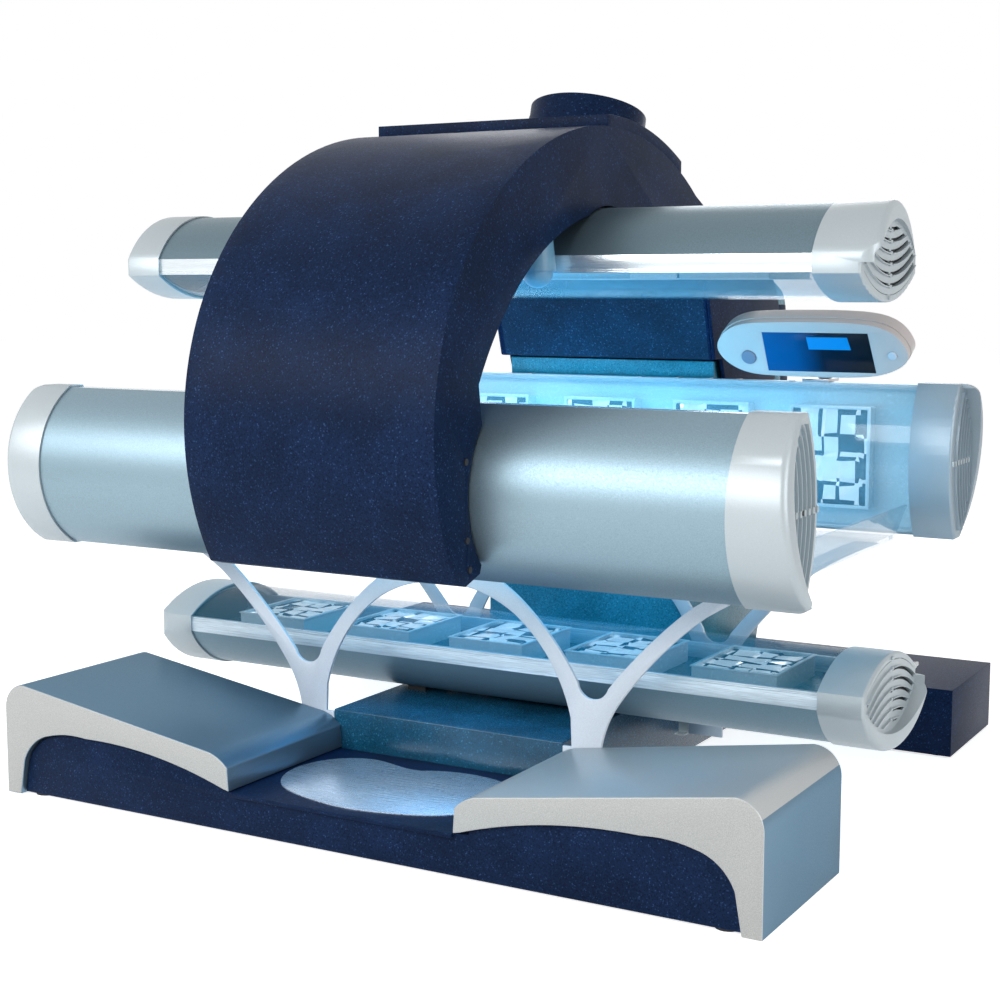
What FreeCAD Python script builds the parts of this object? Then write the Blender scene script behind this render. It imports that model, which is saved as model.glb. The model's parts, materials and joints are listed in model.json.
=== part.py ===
"""Lie-down tanning machine with four lamp tubes and a lifting arch canopy.

Millimetres.  +X runs along the tubes towards the head end, +Y towards the rear column, +Z up.
The origin is on the floor under the middle of the arch.
Every sub-part is one STEP file, parts/NODE.step.
"""
import FreeCAD, Part
import os
from math import asin, atan, cos, degrees, pi, radians, sin, sqrt

V = FreeCAD.Vector
X_AXIS = V(1, 0, 0)
Y_AXIS = V(0, 1, 0)
Z_AXIS = V(0, 0, 1)
ORIGIN = V(0, 0, 0)

# ---------------------------------------------------------------- fits shared by everything
RUNNING_GAP = 0.3            # between curved or moving neighbours
SHAFT_CLEARANCE = 0.05       # radial, shaft in bearing
BIG = 4000.0                 # longer than the whole machine
NEAR = 0.01                  # how near a corner is taken to lie on a face

# ---------------------------------------------------------------- lamp tubes (four alike)
TUBE_LENGTH = 2020.0         # body between the caps
TUBE_WIDTH = 427.0
METAL_DEPTH = 126.0          # arch height of the metal half
GLASS_DEPTH = 67.0           # arch height of the acrylic half
RAIL_HEIGHT = 45.0           # flat aluminium band between the halves
RAIL_THICKNESS = 14.0
RAIL_GROOVE = 1.5
RAIL_GROOVE_PITCH = 5.0       # the two grooves lie beside the acrylic
METAL_WALL = 2.5
ACRYLIC_WALL = 4.0
CAP_LENGTH = 106.0
CAP_SLEEVE = 14.0            # overlap of the cap over the body
CAP_WALL = 5.0               # how far the cap stands proud of the body
CAP_END = 6.0                # thickness of the cap's end plate
CAP_RIM = 42.0               # how far the right cap's rim stands out at its high corner
CAP_RIM_LEFT = 12.0          # and the left cap's
CAP_RIM_DEPTH = 84.0         # depth of the louvre field's arc on the metal side
CAP_RIM_WALL = 12.0          # thickness of the rim at its high corner
CAP_RIM_ROUND = 18.0         # rounding of that corner and of the rim's outer edge
CAP_EDGE_ROUND = 8.0         # rounding of the end plate's outer edge
LOUVRE_COUNT = 7
LOUVRE_SLOT = 8.0
LOUVRE_BLADE = 2.5           # thickness of the blade that stands along each slot
LOUVRE_STAND = 7.0
LOUVRE_PITCH = 27.0
LOUVRE_MARGIN = 12.0
LOUVRE_BAR = 14.0
TRAY_PLATE = 2.0
LAMP_COUNT = 5
LAMP_PITCH = 372.0
LAMP_BOX_LENGTH = 236.0
LAMP_BOX_WIDTH = 288.0
LAMP_BOX_HEIGHT = 56.0
LAMP_BOX_WALL = 3.0
BURNER_BULB = 26.0
BURNER_STEM = 10.0

# where the tubes lie: (y, z) of the middle of the rail band
TOP_TUBE = (-225.5, 1453.0)
FRONT_TUBE = (-795.0, 908.0)
BACK_TUBE = (476.0, 908.0)
LOW_TUBE = (-117.0, 375.5)

# ---------------------------------------------------------------- arch canopy
ARCH_WIDTH = 718.0
ARCH_CENTRE = (-202.0, 1050.0)
ARCH_HALF_DEPTH = 896.0
ARCH_HALF_HEIGHT = 763.0
ARCH_TIP = (-962.0, 704.0)           # lowest front corner
ARCH_HOOK = (-896.0, 726.0)          # inner corner under the front tube
LINER_CENTRE = (-168.0, 753.0)
LINER_RADIUS = 843.0
LINER_FRONT_ANGLE = 150.27           # where the liner's arc starts and ends, degrees from +Y
LINER_REAR_ANGLE = 45.58
LINER_LIP = (52.0, 1178.0)           # rear inner lip: reach past the arc's end, height
SADDLE_EDGE = (-880.0, 1040.0)       # inside the front tube, trimmed by the tube's own shape
SADDLE_RISE = 45.0
LINER_LOW = 1060.0                   # the liner's round part ends here, behind the front tube
ARCH_TAIL = (340.0, 1662.0)          # where the ellipse turns into the straight tail
ARCH_WALL = 8.0
LINER_WALL = 8.0
TUBE_NEST_GAP = 6.0                  # between a tube's metal half and what cradles it

HINGE = (770.0, 1240.0)              # canopy hinge axis (y, z), parallel to X
HINGE_COVER_RADIUS = 250.0
BARREL_RADIUS = 222.0
BARREL_GAP = 4.0
CANOPY_TRAVEL = 28.0                 # degrees
SHAFT_DIAMETER = 50.0
RIB_THICKNESS = 8.0
RIB_INSET = 2.0
RIB_HUB = 214.0                      # round end of each rib about the hinge
SHAFT_HUB = 35.0
ARCH_SCREW_SPOTS = ((-962.0, 996.0), (-957.0, 812.0), (-946.0, 742.0))
ARCH_SCREW_HEAD = 8.0
ARCH_SCREW_SHANK = 4.0
CHEEK_THICKNESS = 12.0
CHEEK_REACH = 400.0
CRANK_RADIUS = 90.0
CRANK_ANGLE = 194.0                  # of the crank pin at rest, degrees from +Y
CRANK_PIN = 14.0
CRANK_X = 256.0
CRANK_THICKNESS = 12.0
CRANK_PIN_REACH = 24.0

# exhaust duct on top of the arch
DUCT_PLATE = 30.0
DUCT_PLATE_FRONT = -238.0
DUCT_PLATE_REAR = 234.0
DUCT_CENTRE = (184.0, -6.0)
DUCT_RADIUS = 162.0
DUCT_WALL = 12.0
DUCT_HEIGHT = 46.0
DUCT_SPIGOT = 36.0                   # length of the spigot that takes the exhaust pipe
DUCT_SHOULDER = 2.0                  # step between the collar and its spigot
DUCT_DEPTH = 200.0                   # longer than the bore through collar, plate and arch
DUCT_SLOPE = 0.28                    # fall of the collar's top towards the rear
FAN_TIP_GAP = 6.0
FAN_BLADES = 7
FAN_HUB = 46.0
FAN_MOTOR = 38.0
FAN_TOP = 38.0               # below the collar's top
FAN_BLADE_CHORD = 66.0
FAN_BLADE_THICKNESS = 3.0
FAN_BLADE_PITCH = 20.0
GUARD_WIRE = 3.0
GUARD_PITCH = 22.0
GUARD_FIRST_RING = 60.0
GUARD_SPOKES = 6
FAN_DEPTH = 26.0
FAN_SHAFT = 10.0
FAN_SOCKET = 12.0            # depth from the collar's top to the end of the fan shaft

# ---------------------------------------------------------------- rear column
COLUMN_WIDTH = 704.0
COLUMN_WALL = 5.0
COLUMN_FRONT = 341.0
PEDESTAL_WIDTH = 670.0
COLUMN_TOP_REAR = (1050.0, 1392.0)
COLUMN_TOP_BEND = (1088.0, 1370.0)
COLUMN_REAR_HIGH = (1108.0, 1336.0)
COLUMN_REAR_MID = (1140.0, 1000.0)
COLUMN_REAR_LOW = (1000.0, 380.0)
COLUMN_FOOT_REAR = 930.0
SADDLE_LIP = 4.0
REAR_COVER_DEPTH = 64.0
REAR_COVER_MARGIN = 26.0
SHOULDER_ANGLE = 64.0
LIP_TOP = 1172.0
SHELF_DROP = 8.0               # column shelf under the lying sheet
FRAME_PLATE = 8.0
FRAME_X = 300.0
FRAME_SIDE = ((600.0, 740.0), (650.0, 820.0), (650.0, 1000.0), (700.0, 1310.0), (840.0, 1310.0), (900.0, 740.0))
FRAME_TUBE = 40.0
FRAME_TUBE_SPOTS = ((860.0, 300.0), (860.0, 700.0), (800.0, 1060.0))
FRAME_FOOT = (60.0, 40.0, 8.0)
BALLAST_SHELF = (700.0, 890.0, 420.0)    # front, rear, underside
BALLAST_SHELF_PLATE = 4.0
BALLAST_COUNT = 5
BALLAST_PITCH = 110.0
BALLAST_BLOCK = (80.0, 130.0, 90.0)
BALLAST_FRONT = 720.0
BEARING_WIDTH = 28.0
BEARING_RADIUS = 48.0
BEARING_SPIGOT = 40.0
SPRING_FOOT_Z = 700.0
SPRING_TUBE = 28.0
SPRING_TUBE_LENGTH = 330.0
SPRING_ROD = 10.0
SPRING_TUBE_WALL = 3.0
SPRING_NECK = 20.0
SPRING_EYE = 16.0             # width of the eyes at both ends
SPRING_EYE_PLAY = 3.0
SPRING_EYE_WALL = 6.0
SPRING_DIP = 60.0             # how deep the piston starts in its tube
SPRING_PISTON = 12.0

# ---------------------------------------------------------------- base
BENCH_END = 1114.0
BENCH_FRONT = -986.0
BENCH_REAR = -482.0
BENCH_HEIGHT = 311.0
BENCH_INNER_TOP = (368.0, 208.0)
BENCH_TIP = (335.0, 116.0)
BENCH_CORNER = 70.0
BENCH_LEG = 49.0
BENCH_WALL = 6.0
BENCH_NOSE = 30.0             # run of the rounded inner nose
BENCH_FLOOR_GAP = 2.0
BENCH_UNDERSIDE = ((353.0, 120.0), (584.0, 175.0), (822.0, 189.0), (895.0, 190.0), (955.0, 179.0), (1020.0, 143.0),
                   (1048.0, 99.0))       # points on the beam's upper line, from the nose to the leg
BEAM_RECESS = 16.0
BEAM_GAP = 3.0
BEAM_WALL = 3.0
BEAM_TOP = 190.0             # highest point under the benches
FLOOR_GAP = 6.0
STEP_HEIGHT = 113.0
STEP_NOSING = 10.0
SPINE_WIDTH = 724.0
SPINE_HEIGHT = 222.0
REAR_BEAM_FRONT = 655.0
REAR_BEAM_REAR = 1099.0
REAR_BEAM_HALF = 1068.0
REAR_BEAM_HEIGHT = 208.0
INLET_X = 200.0
INLET_Z = 100.0
INLET_FLANGE = 30.0
INLET_HOLE = 20.0
INLET_BORE = 12.0
INLET_LIP = 10.0
FOOT_RADIUS = 30.0
FOOT_INSET = 50.0
TREAD_THICKNESS = 3.0
TREAD_LEAF = ((0.0, -568.0), (185.0, -546.0), (285.0, -600.0), (320.0, -740.0), (255.0, -866.0), (130.0, -925.0),
              (0.0, -945.0))
CLIP_X = 528.0
CLIP_WIDTH = 28.0
CLIP_HEIGHT = 40.0
CLIP_THICKNESS = 4.0
CLIP_TAB_INSET = 30.0         # the tab stands this far inside the cap's end
CLIP_TAB = ((0.0, -16.0), (34.0, -16.0), (115.0, -2.0), (113.0, 7.0), (34.0, 22.0), (0.0, 9.0))
SHEET_TOP = 692.0
SHEET_THICKNESS = 10.0
SHEET_INSET = 55.0            # the sheet is this much shorter than the tubes at each end
SHEET_HALF_LENGTH = TUBE_LENGTH / 2 - SHEET_INSET
SHEET_FRONT = -700.0
SHEET_REAR = 436.0
SHEET_LIP_HEIGHT = 96.0
SHEET_LIP_FLARE = 38.0
SHEET_LIP_ROOT = 14.0
SHEET_LIP_MARGINS = (30.0, 40.0)
WISHBONE_THICKNESS = 10.0
WISHBONE_FOOT = (470.0, 60.0, 214.0)     # half width, bottom, top
WISHBONE_OUTSIDE = ((470.0, 200.0), (488.0, 275.0), (520.0, 338.0), (620.0, 462.0), (756.0, 587.0), (850.0, 642.0))
WISHBONE_TOE = (862.0, 935.0)            # where the outer arm meets the sheet
WISHBONE_INSIDE = ((790.0, 650.0), (712.0, 603.0), (600.0, 500.0), (492.0, 378.0), (452.0, 346.0), (405.0, 385.0),
                   (332.0, 492.0), (237.0, 588.0), (160.0, 640.0))
WISHBONE_BRIDGE = (60.0, 610.0)          # flat on top of the middle arch, its underside
WISHBONE_MIDDLE = ((115.0, 596.0), (218.0, 547.0), (330.0, 424.0), (385.0, 290.0))
WISHBONE_ANKLE = 388.0

# ---------------------------------------------------------------- control pod and nozzle
POD_CENTRE = (693.0, 430.0, 1232.0)
POD_TILT = 30.0
POD_HALF_LENGTH = 287.0
POD_HALF_HEIGHT = 95.0
POD_THICKNESS = 66.0
POD_FACE_DEPTH = 24.0
POD_WALL = 4.0
POD_SEAM = 2.0                # the face is this much smaller than the back shell all round
POD_HINGE_OFFSET = 25.0
POD_PIN = 5.0
KNUCKLE_RADIUS = 12.0
LUG_THICKNESS = 12.0
LUG_GAP = 4.0
BRACKET_WIDTH = 40.0
BRACKET_PLATE = 9.0
BRACKET_REACH = 66.0          # from the pod's hinge back to the bracket's neck
DISPLAY_DEPTH = 3.0
START_BUTTON = (-191.0, -28.0, 22.0)     # along the pod, up its face, radius
SELECT_BUTTON = (241.0, -14.0, 13.0)
BUTTON_HEIGHT = 5.0
BUTTON_WELL = 15.0
BUTTON_STEM = 3.0
START_TRAVEL = 3.0
SELECT_TRAVEL = 2.0
BUTTON_GAP = 0.4
NOZZLE_CENTRE = (290.0, -490.0, 1432.0)
NOZZLE_BALL = 39.0
NOZZLE_BORE = 15.0
NOZZLE_SEAT = 47.0


# ================================================================ small helpers
def box(x0, x1, y0, y1, z0, z1):
    return Part.makeBox(x1 - x0, y1 - y0, z1 - z0, V(x0, y0, z0))


def bar(y, z, radius, x0, x1):
    """Cylinder parallel to X."""
    return Part.makeCylinder(radius, x1 - x0, V(x0, y, z), X_AXIS)


def rod(start, end, radius):
    run = end - start
    return Part.makeCylinder(radius, run.Length, start, run)


def loop_face(edges):
    return Part.Face(Part.Wire(Part.__sortEdges__(edges)))


def line(a, b):
    return Part.LineSegment(V(*a, 0), V(*b, 0)).toShape()


def arc(a, b, c):
    return Part.Arc(V(*a, 0), V(*b, 0), V(*c, 0)).toShape()


def polygon(points):
    return [line(a, b) for a, b in zip(points, points[1:] + points[:1])]


def along_x(face, x0, x1):
    """Face drawn in (y, z), given thickness from x0 to x1."""
    solid = face.extrude(V(0, 0, x1 - x0))
    solid.translate(V(0, 0, x0))
    turn = FreeCAD.Matrix(0, 0, 1, 0, 1, 0, 0, 0, 0, 1, 0, 0, 0, 0, 0, 1)
    solid.Placement = FreeCAD.Placement(turn).multiply(solid.Placement)
    return solid


def along_z(face, z0, z1):
    """Face drawn in (x, y), given thickness from z0 to z1."""
    solid = face.extrude(V(0, 0, z1 - z0))
    solid.translate(V(0, 0, z0))
    return solid


def along_y(face, y0, y1):
    """Face drawn in (x, z), given thickness from y0 to y1."""
    solid = face.extrude(V(0, 0, y1 - y0))
    solid.translate(V(0, 0, -y1))
    solid.rotate(ORIGIN, X_AXIS, 90)
    return solid


def mirrored_x(shape):
    return shape.mirror(ORIGIN, X_AXIS)


def both_sides(shape):
    return [shape, mirrored_x(shape)]


def one(shapes):
    """Fuse a list into one clean solid."""
    result = shapes[0].multiFuse(shapes[1:]).removeSplitter()
    return result


def about_hinge(radius, x0, x1):
    return bar(HINGE[0], HINGE[1], radius, x0, x1)


def hinge_point(radius, angle):
    return (HINGE[0] + radius * cos(radians(angle)), HINGE[1] + radius * sin(radians(angle)))


# ================================================================ lamp tube, built lying on X with the acrylic up
BAND = RAIL_HEIGHT / 2
HALF_WIDTH = TUBE_WIDTH / 2
HALF_TUBE = TUBE_LENGTH / 2
CAP_OUTER_X = HALF_TUBE + CAP_LENGTH
METAL_RADIUS = (HALF_WIDTH ** 2 + METAL_DEPTH ** 2) / (2 * METAL_DEPTH)
GLASS_RADIUS = (HALF_WIDTH ** 2 + GLASS_DEPTH ** 2) / (2 * GLASS_DEPTH)
METAL_AXIS = METAL_RADIUS - METAL_DEPTH - BAND
GLASS_AXIS = BAND + GLASS_DEPTH - GLASS_RADIUS


def slab(z0, z1, x0, x1, half_width=HALF_WIDTH):
    return box(x0, x1, -half_width, half_width, z0, z1)


def metal_half(grow, x0, x1):
    """Solid under the band, bounded by the metal arc grown outwards."""
    disc = bar(0, METAL_AXIS, METAL_RADIUS + grow, x0, x1)
    return disc.common(slab(-BIG, -BAND, x0, x1, BIG))


def glass_half(grow, x0, x1):
    disc = bar(0, GLASS_AXIS, GLASS_RADIUS + grow, x0, x1)
    return disc.common(slab(BAND, BIG, x0, x1, BIG))


def tube_envelope(grow, x0, x1):
    """Full lens section grown outwards, including the rail band."""
    band = slab(-BAND, BAND, x0, x1, HALF_WIDTH + grow)
    metal = metal_half(grow, x0, x1).common(slab(-BIG, BIG, x0, x1, HALF_WIDTH + grow))
    glass = glass_half(grow, x0, x1).common(slab(-BIG, BIG, x0, x1, HALF_WIDTH + grow))
    return one([band, metal, glass])


def metal_shell():
    return metal_half(0, -HALF_TUBE, HALF_TUBE).cut(metal_half(-METAL_WALL, -BIG, BIG))


def acrylic_cover():
    return glass_half(0, -HALF_TUBE, HALF_TUBE).cut(glass_half(-ACRYLIC_WALL, -BIG, BIG))


def rails():
    inner = HALF_WIDTH - RAIL_THICKNESS
    rail = box(-HALF_TUBE, HALF_TUBE, inner, HALF_WIDTH, -BAND, BAND)
    for level in (BAND - RAIL_GROOVE_PITCH, BAND - 2 * RAIL_GROOVE_PITCH):
        groove = box(-BIG, BIG, HALF_WIDTH - RAIL_GROOVE, BIG, level - RAIL_GROOVE / 2, level + RAIL_GROOVE / 2)
        rail = rail.cut(groove)
    return [rail, rail.mirror(ORIGIN, Y_AXIS)]


def lamp_places():
    first = -(LAMP_COUNT - 1) / 2 * LAMP_PITCH
    return [first + index * LAMP_PITCH for index in range(LAMP_COUNT)]


TRAY_LEVEL = -BAND + TRAY_PLATE


def reflector_bank():
    """Long tray between the rails, with one reflector box for each burner."""
    inner = HALF_WIDTH - RAIL_THICKNESS
    parts = [box(-HALF_TUBE, HALF_TUBE, -inner, inner, -BAND, TRAY_LEVEL)]
    half_x = LAMP_BOX_LENGTH / 2
    half_y = LAMP_BOX_WIDTH / 2
    for place in lamp_places():
        outer = box(place - half_x, place + half_x, -half_y, half_y, TRAY_LEVEL, TRAY_LEVEL + LAMP_BOX_HEIGHT)
        hollow = box(place - half_x + LAMP_BOX_WALL, place + half_x - LAMP_BOX_WALL, -half_y + LAMP_BOX_WALL,
                     half_y - LAMP_BOX_WALL, TRAY_LEVEL + LAMP_BOX_WALL, BIG)
        parts.append(outer.cut(hollow))
    return one(parts)


def burners():
    """Quartz burners, each held by its two stems in the end walls of its reflector box."""
    reach = LAMP_BOX_LENGTH / 2 - LAMP_BOX_WALL
    level = TRAY_LEVEL + LAMP_BOX_HEIGHT / 2 + LAMP_BOX_WALL
    lamps = []
    for place in lamp_places():
        stem = bar(0, level, BURNER_STEM / 2, place - reach, place + reach)
        bulb = bar(0, level, BURNER_BULB / 2, place - reach / 2, place + reach / 2)
        lamps.append(one([stem, bulb]))
    return lamps


RIM_INNER = HALF_WIDTH + CAP_WALL - CAP_RIM_WALL


def rim_arc(grow, x0, x1):
    """Disc whose lower part ends the louvre field on the metal side."""
    radius = (RIM_INNER ** 2 + CAP_RIM_DEPTH ** 2) / (2 * CAP_RIM_DEPTH)
    return bar(0, radius - CAP_RIM_DEPTH - BAND, radius + grow, x0, x1)


def louvre_field(x0, x1):
    low = rim_arc(-LOUVRE_MARGIN, x0, x1).common(slab(-BIG, -BAND, x0, x1, RIM_INNER))
    band = slab(-BAND, BAND, x0, x1, RIM_INNER - LOUVRE_MARGIN)
    return one([low, band, glass_half(-LOUVRE_MARGIN, x0, x1).common(slab(-BIG, BIG, x0, x1, RIM_INNER - LOUVRE_MARGIN))])


def louvre_arcs(inner, outer, x0, x1):
    """Nested arcs, all of one curve, that step from the acrylic crown to the metal side."""
    field = louvre_field(x0, x1)
    arcs = []
    for index in range(LOUVRE_COUNT):
        centre = GLASS_AXIS - LOUVRE_MARGIN / 2 - index * LOUVRE_PITCH
        ring = bar(0, centre, GLASS_RADIUS + outer, x0, x1).cut(bar(0, centre, GLASS_RADIUS + inner, x0, x1))
        ring = ring.common(slab(centre, BIG, x0, x1))
        arcs.append(ring.common(field).cut(box(x0, x1, -LOUVRE_BAR / 2, LOUVRE_BAR / 2, -BIG, BIG)))
    return arcs


def round_end(solid, level, radius):
    """Rounds the outline of a cap's end face, which lies beyond the level."""
    edges = [edge for edge in solid.Edges if all(vertex.Point.x > level - NEAR for vertex in edge.Vertexes)]
    return solid.makeFillet(radius, edges)


def cap_rim(rim):
    """Metal side of the cap, which stands out of the end plate and grows towards +Y."""
    start = HALF_TUBE - CAP_SLEEVE
    x0, x1 = CAP_OUTER_X, CAP_OUTER_X + rim
    reach = HALF_WIDTH + CAP_WALL
    slope = polygon([(start, -reach), (x0, -reach), (x1, reach), (start, reach)])
    body = tube_envelope(CAP_WALL, start, x1).common(along_z(loop_face(slope), -BIG, BIG))
    body = round_end(body, x0, CAP_RIM_ROUND)
    bend = CAP_RIM_ROUND * (1 - sqrt(0.5))
    corner = along_y(loop_face([
        line((start, -BIG), (x1, -BIG)), line((x1, -BIG), (x1, -CAP_RIM_ROUND)),
        arc((x1, -CAP_RIM_ROUND), (x1 - bend, -bend), (x1 - CAP_RIM_ROUND, 0)),
        line((x1 - CAP_RIM_ROUND, 0), (start, 0)), line((start, 0), (start, -BIG))]), -BIG, BIG)
    field = rim_arc(0, x0, BIG).common(slab(-BIG, -BAND, x0, BIG, BIG)).fuse(slab(-BAND, 0, x0, BIG, RIM_INNER))
    return body.common(corner).cut(field)


def end_cap(rim):
    """End cap: sleeve over the body, louvred end plate and the rim."""
    start = HALF_TUBE - CAP_SLEEVE
    body = round_end(tube_envelope(CAP_WALL, start, CAP_OUTER_X), CAP_OUTER_X, CAP_EDGE_ROUND)
    shell = one([body, cap_rim(rim)]).cut(tube_envelope(RUNNING_GAP, start, HALF_TUBE))
    shell = shell.cut(tube_envelope(-RAIL_THICKNESS, HALF_TUBE - 1, CAP_OUTER_X - CAP_END))
    blades = louvre_arcs(0, LOUVRE_BLADE, CAP_OUTER_X, CAP_OUTER_X + LOUVRE_STAND)
    shell = one([shell] + blades)
    return shell.cut(Part.makeCompound(louvre_arcs(-LOUVRE_SLOT, 0, CAP_OUTER_X - CAP_END, CAP_OUTER_X)))


def end_caps():
    """The right cap, and the left one, which is turned end for end and has a lower rim."""
    left = end_cap(CAP_RIM_LEFT)
    left.rotate(ORIGIN, Z_AXIS, 180)
    return [end_cap(CAP_RIM), left]


def tube_nodes(name, place, turn):
    """All the sub-parts of one tube, turned about X and moved to its place."""
    parts = {
        "metal_shell": [metal_shell()],
        "rails": rails(),
        "acrylic_cover": [acrylic_cover()],
        "reflector_bank": [reflector_bank()],
        "end_caps": end_caps(),
    }
    for part, shapes in parts.items():
        add(name + "_" + part, [placed(shape, place, turn) for shape in shapes])


def burner_set(names):
    return [placed(lamp, *TUBES[name]) for name in names for lamp in burners()]


def placed(shape, place, turn):
    moved = shape.copy()
    moved.rotate(ORIGIN, X_AXIS, turn)
    moved.translate(V(0, place[0], place[1]))
    return moved


TUBES = {
    "top_tube": (TOP_TUBE, 180.0),
    "front_tube": (FRONT_TUBE, -90.0),
    "back_tube": (BACK_TUBE, 90.0),
    "low_tube": (LOW_TUBE, 0.0),
}
CANOPY_TUBES = ("top_tube", "front_tube")
BASE_TUBES = ("back_tube", "low_tube")


def tube_space(name, grow):
    """The room that a tube takes, grown by a gap."""
    place, turn = TUBES[name]
    return placed(tube_envelope(grow, -BIG / 2, BIG / 2), place, turn)


# ================================================================ arch canopy
def ellipse_point(angle, grow=0.0):
    return (ARCH_CENTRE[0] + (ARCH_HALF_DEPTH + grow) * cos(angle), ARCH_CENTRE[1] + (ARCH_HALF_HEIGHT + grow) * sin(angle))


def ellipse_angle_at_y(y, grow=0.0):
    return asin(sqrt(1 - ((y - ARCH_CENTRE[0]) / (ARCH_HALF_DEPTH + grow)) ** 2))


def ellipse_arc(grow, start, end):
    curve = Part.Ellipse(V(*ARCH_CENTRE, 0), ARCH_HALF_DEPTH + grow, ARCH_HALF_HEIGHT + grow)
    return Part.ArcOfEllipse(curve, start, end).toShape()


FRONT_FOOT_ANGLE = pi + asin((ARCH_CENTRE[1] - ARCH_TIP[1] - 12) / ARCH_HALF_HEIGHT)
TAIL_ANGLE = ellipse_angle_at_y(ARCH_TAIL[0])
TAIL_END = hinge_point(HINGE_COVER_RADIUS, 100.0)


def liner_point(y):
    return (y, LINER_CENTRE[1] + sqrt(LINER_RADIUS ** 2 - (y - LINER_CENTRE[0]) ** 2))


def liner_end(angle):
    return (LINER_CENTRE[0] + LINER_RADIUS * cos(radians(angle)), LINER_CENTRE[1] + LINER_RADIUS * sin(radians(angle)))


LINER_FRONT = liner_end(LINER_FRONT_ANGLE)
LINER_REAR = liner_end(LINER_REAR_ANGLE)
LINER_END = (LINER_REAR[0] + LINER_LIP[0], LINER_LIP[1])


def arch_profile():
    """Side view of the whole arch, before the tubes and the hinge barrel are cut out of it."""
    top = ellipse_point(TAIL_ANGLE)
    foot = ellipse_point(FRONT_FOOT_ANGLE)
    crown = (LINER_CENTRE[0], LINER_CENTRE[1] + LINER_RADIUS)
    barrel_core = hinge_point(BARREL_RADIUS / 2, 150.0)
    saddle_foot = (SADDLE_EDGE[0], ARCH_HOOK[1] + SADDLE_RISE)
    return loop_face([
        ellipse_arc(0, TAIL_ANGLE, FRONT_FOOT_ANGLE),
        line(foot, ARCH_TIP), line(ARCH_TIP, ARCH_HOOK), line(ARCH_HOOK, saddle_foot),
        line(saddle_foot, SADDLE_EDGE),
        line(SADDLE_EDGE, LINER_FRONT),
        arc(LINER_FRONT, crown, LINER_REAR), line(LINER_REAR, LINER_END),
        line(LINER_END, (HINGE[0] - BARREL_RADIUS / 2, LINER_END[1])),
        line((HINGE[0] - BARREL_RADIUS / 2, LINER_END[1]), barrel_core),
        line(barrel_core, TAIL_END), line(TAIL_END, top)])


def arch_inset(amount):
    """The arch's side view drawn in by an amount, with its offset curves turned into plain ones."""
    edges = []
    for edge in arch_profile().makeOffset2D(-amount).Edges:
        if isinstance(edge.Curve, Part.OffsetCurve):
            edge = edge.Curve.toBSpline(edge.FirstParameter, edge.LastParameter).toShape()
        edges.append(edge)
    return loop_face(edges)


def arch_solid(half_width):
    solid = along_x(arch_profile(), -half_width, half_width)
    solid = solid.cut(about_hinge(BARREL_RADIUS + BARREL_GAP, -BIG, BIG))
    for name in CANOPY_TUBES:
        solid = solid.cut(tube_space(name, TUBE_NEST_GAP))
    return solid


def liner_tail():
    """Side view of the liner's straight lip behind its round part."""
    y, z = LINER_REAR
    return loop_face(polygon([LINER_REAR, LINER_END, (LINER_END[0] + LINER_WALL, LINER_END[1]),
                              (y + LINER_WALL, z + LINER_WALL), (y - LINER_WALL, z + LINER_WALL)]))


def liner_zone(half_width):
    """The inner skin of the arch: everything within a wall of its inner side."""
    disc = bar(LINER_CENTRE[0], LINER_CENTRE[1], LINER_RADIUS + LINER_WALL, -half_width, half_width)
    zone = disc.common(box(-BIG, BIG, -BIG, LINER_REAR[0], LINER_LOW, BIG))
    nests = [tube_space(name, TUBE_NEST_GAP + LINER_WALL).common(box(-half_width, half_width, -BIG, BIG, 0, BIG))
             for name in CANOPY_TUBES]
    tail = arch_solid(half_width).common(along_x(liner_tail(), -half_width, half_width))
    return one([zone, tail] + nests)


HALF_ARCH = ARCH_WIDTH / 2
HALF_ARCH_INSIDE = HALF_ARCH - ARCH_WALL


def arch_cavity():
    """Room between the outer skin, the side walls and the liner."""
    inner = along_x(arch_inset(ARCH_WALL), -HALF_ARCH_INSIDE, HALF_ARCH_INSIDE)
    inner = inner.cut(about_hinge(BARREL_RADIUS + BARREL_GAP + ARCH_WALL, -BIG, BIG))
    return inner


DUCT_AXIS = V(0, DUCT_SLOPE, 1)
DUCT_AXIS.normalize()
DUCT_BASE_Z = ellipse_point(pi - ellipse_angle_at_y(DUCT_CENTRE[1], DUCT_PLATE), DUCT_PLATE)[1]
DUCT_TOP = V(DUCT_CENTRE[0], DUCT_CENTRE[1], DUCT_BASE_Z + DUCT_HEIGHT)


def duct_cylinder(radius, below, above=0.0):
    """Cylinder about the duct's leaning axis, measured down and up from its top centre."""
    start = DUCT_TOP - DUCT_AXIS * below
    return Part.makeCylinder(radius, below + above, start, DUCT_AXIS)


DUCT_BORE = DUCT_RADIUS - DUCT_WALL


def arch_shell():
    skin = arch_solid(HALF_ARCH)
    middle = arch_solid(HALF_ARCH_INSIDE).common(liner_zone(HALF_ARCH_INSIDE))
    shell = skin.cut(arch_cavity()).cut(middle)
    rib_slot = along_x(arch_inset(ARCH_WALL), HALF_ARCH_INSIDE - RIB_THICKNESS - RIB_INSET, HALF_ARCH_INSIDE)
    for slot in both_sides(rib_slot):
        shell = shell.cut(slot)
    return shell.cut(duct_cylinder(DUCT_BORE, DUCT_DEPTH)).cut(screw_holes())


def arch_liner():
    return arch_solid(HALF_ARCH_INSIDE).common(liner_zone(HALF_ARCH_INSIDE))


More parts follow.
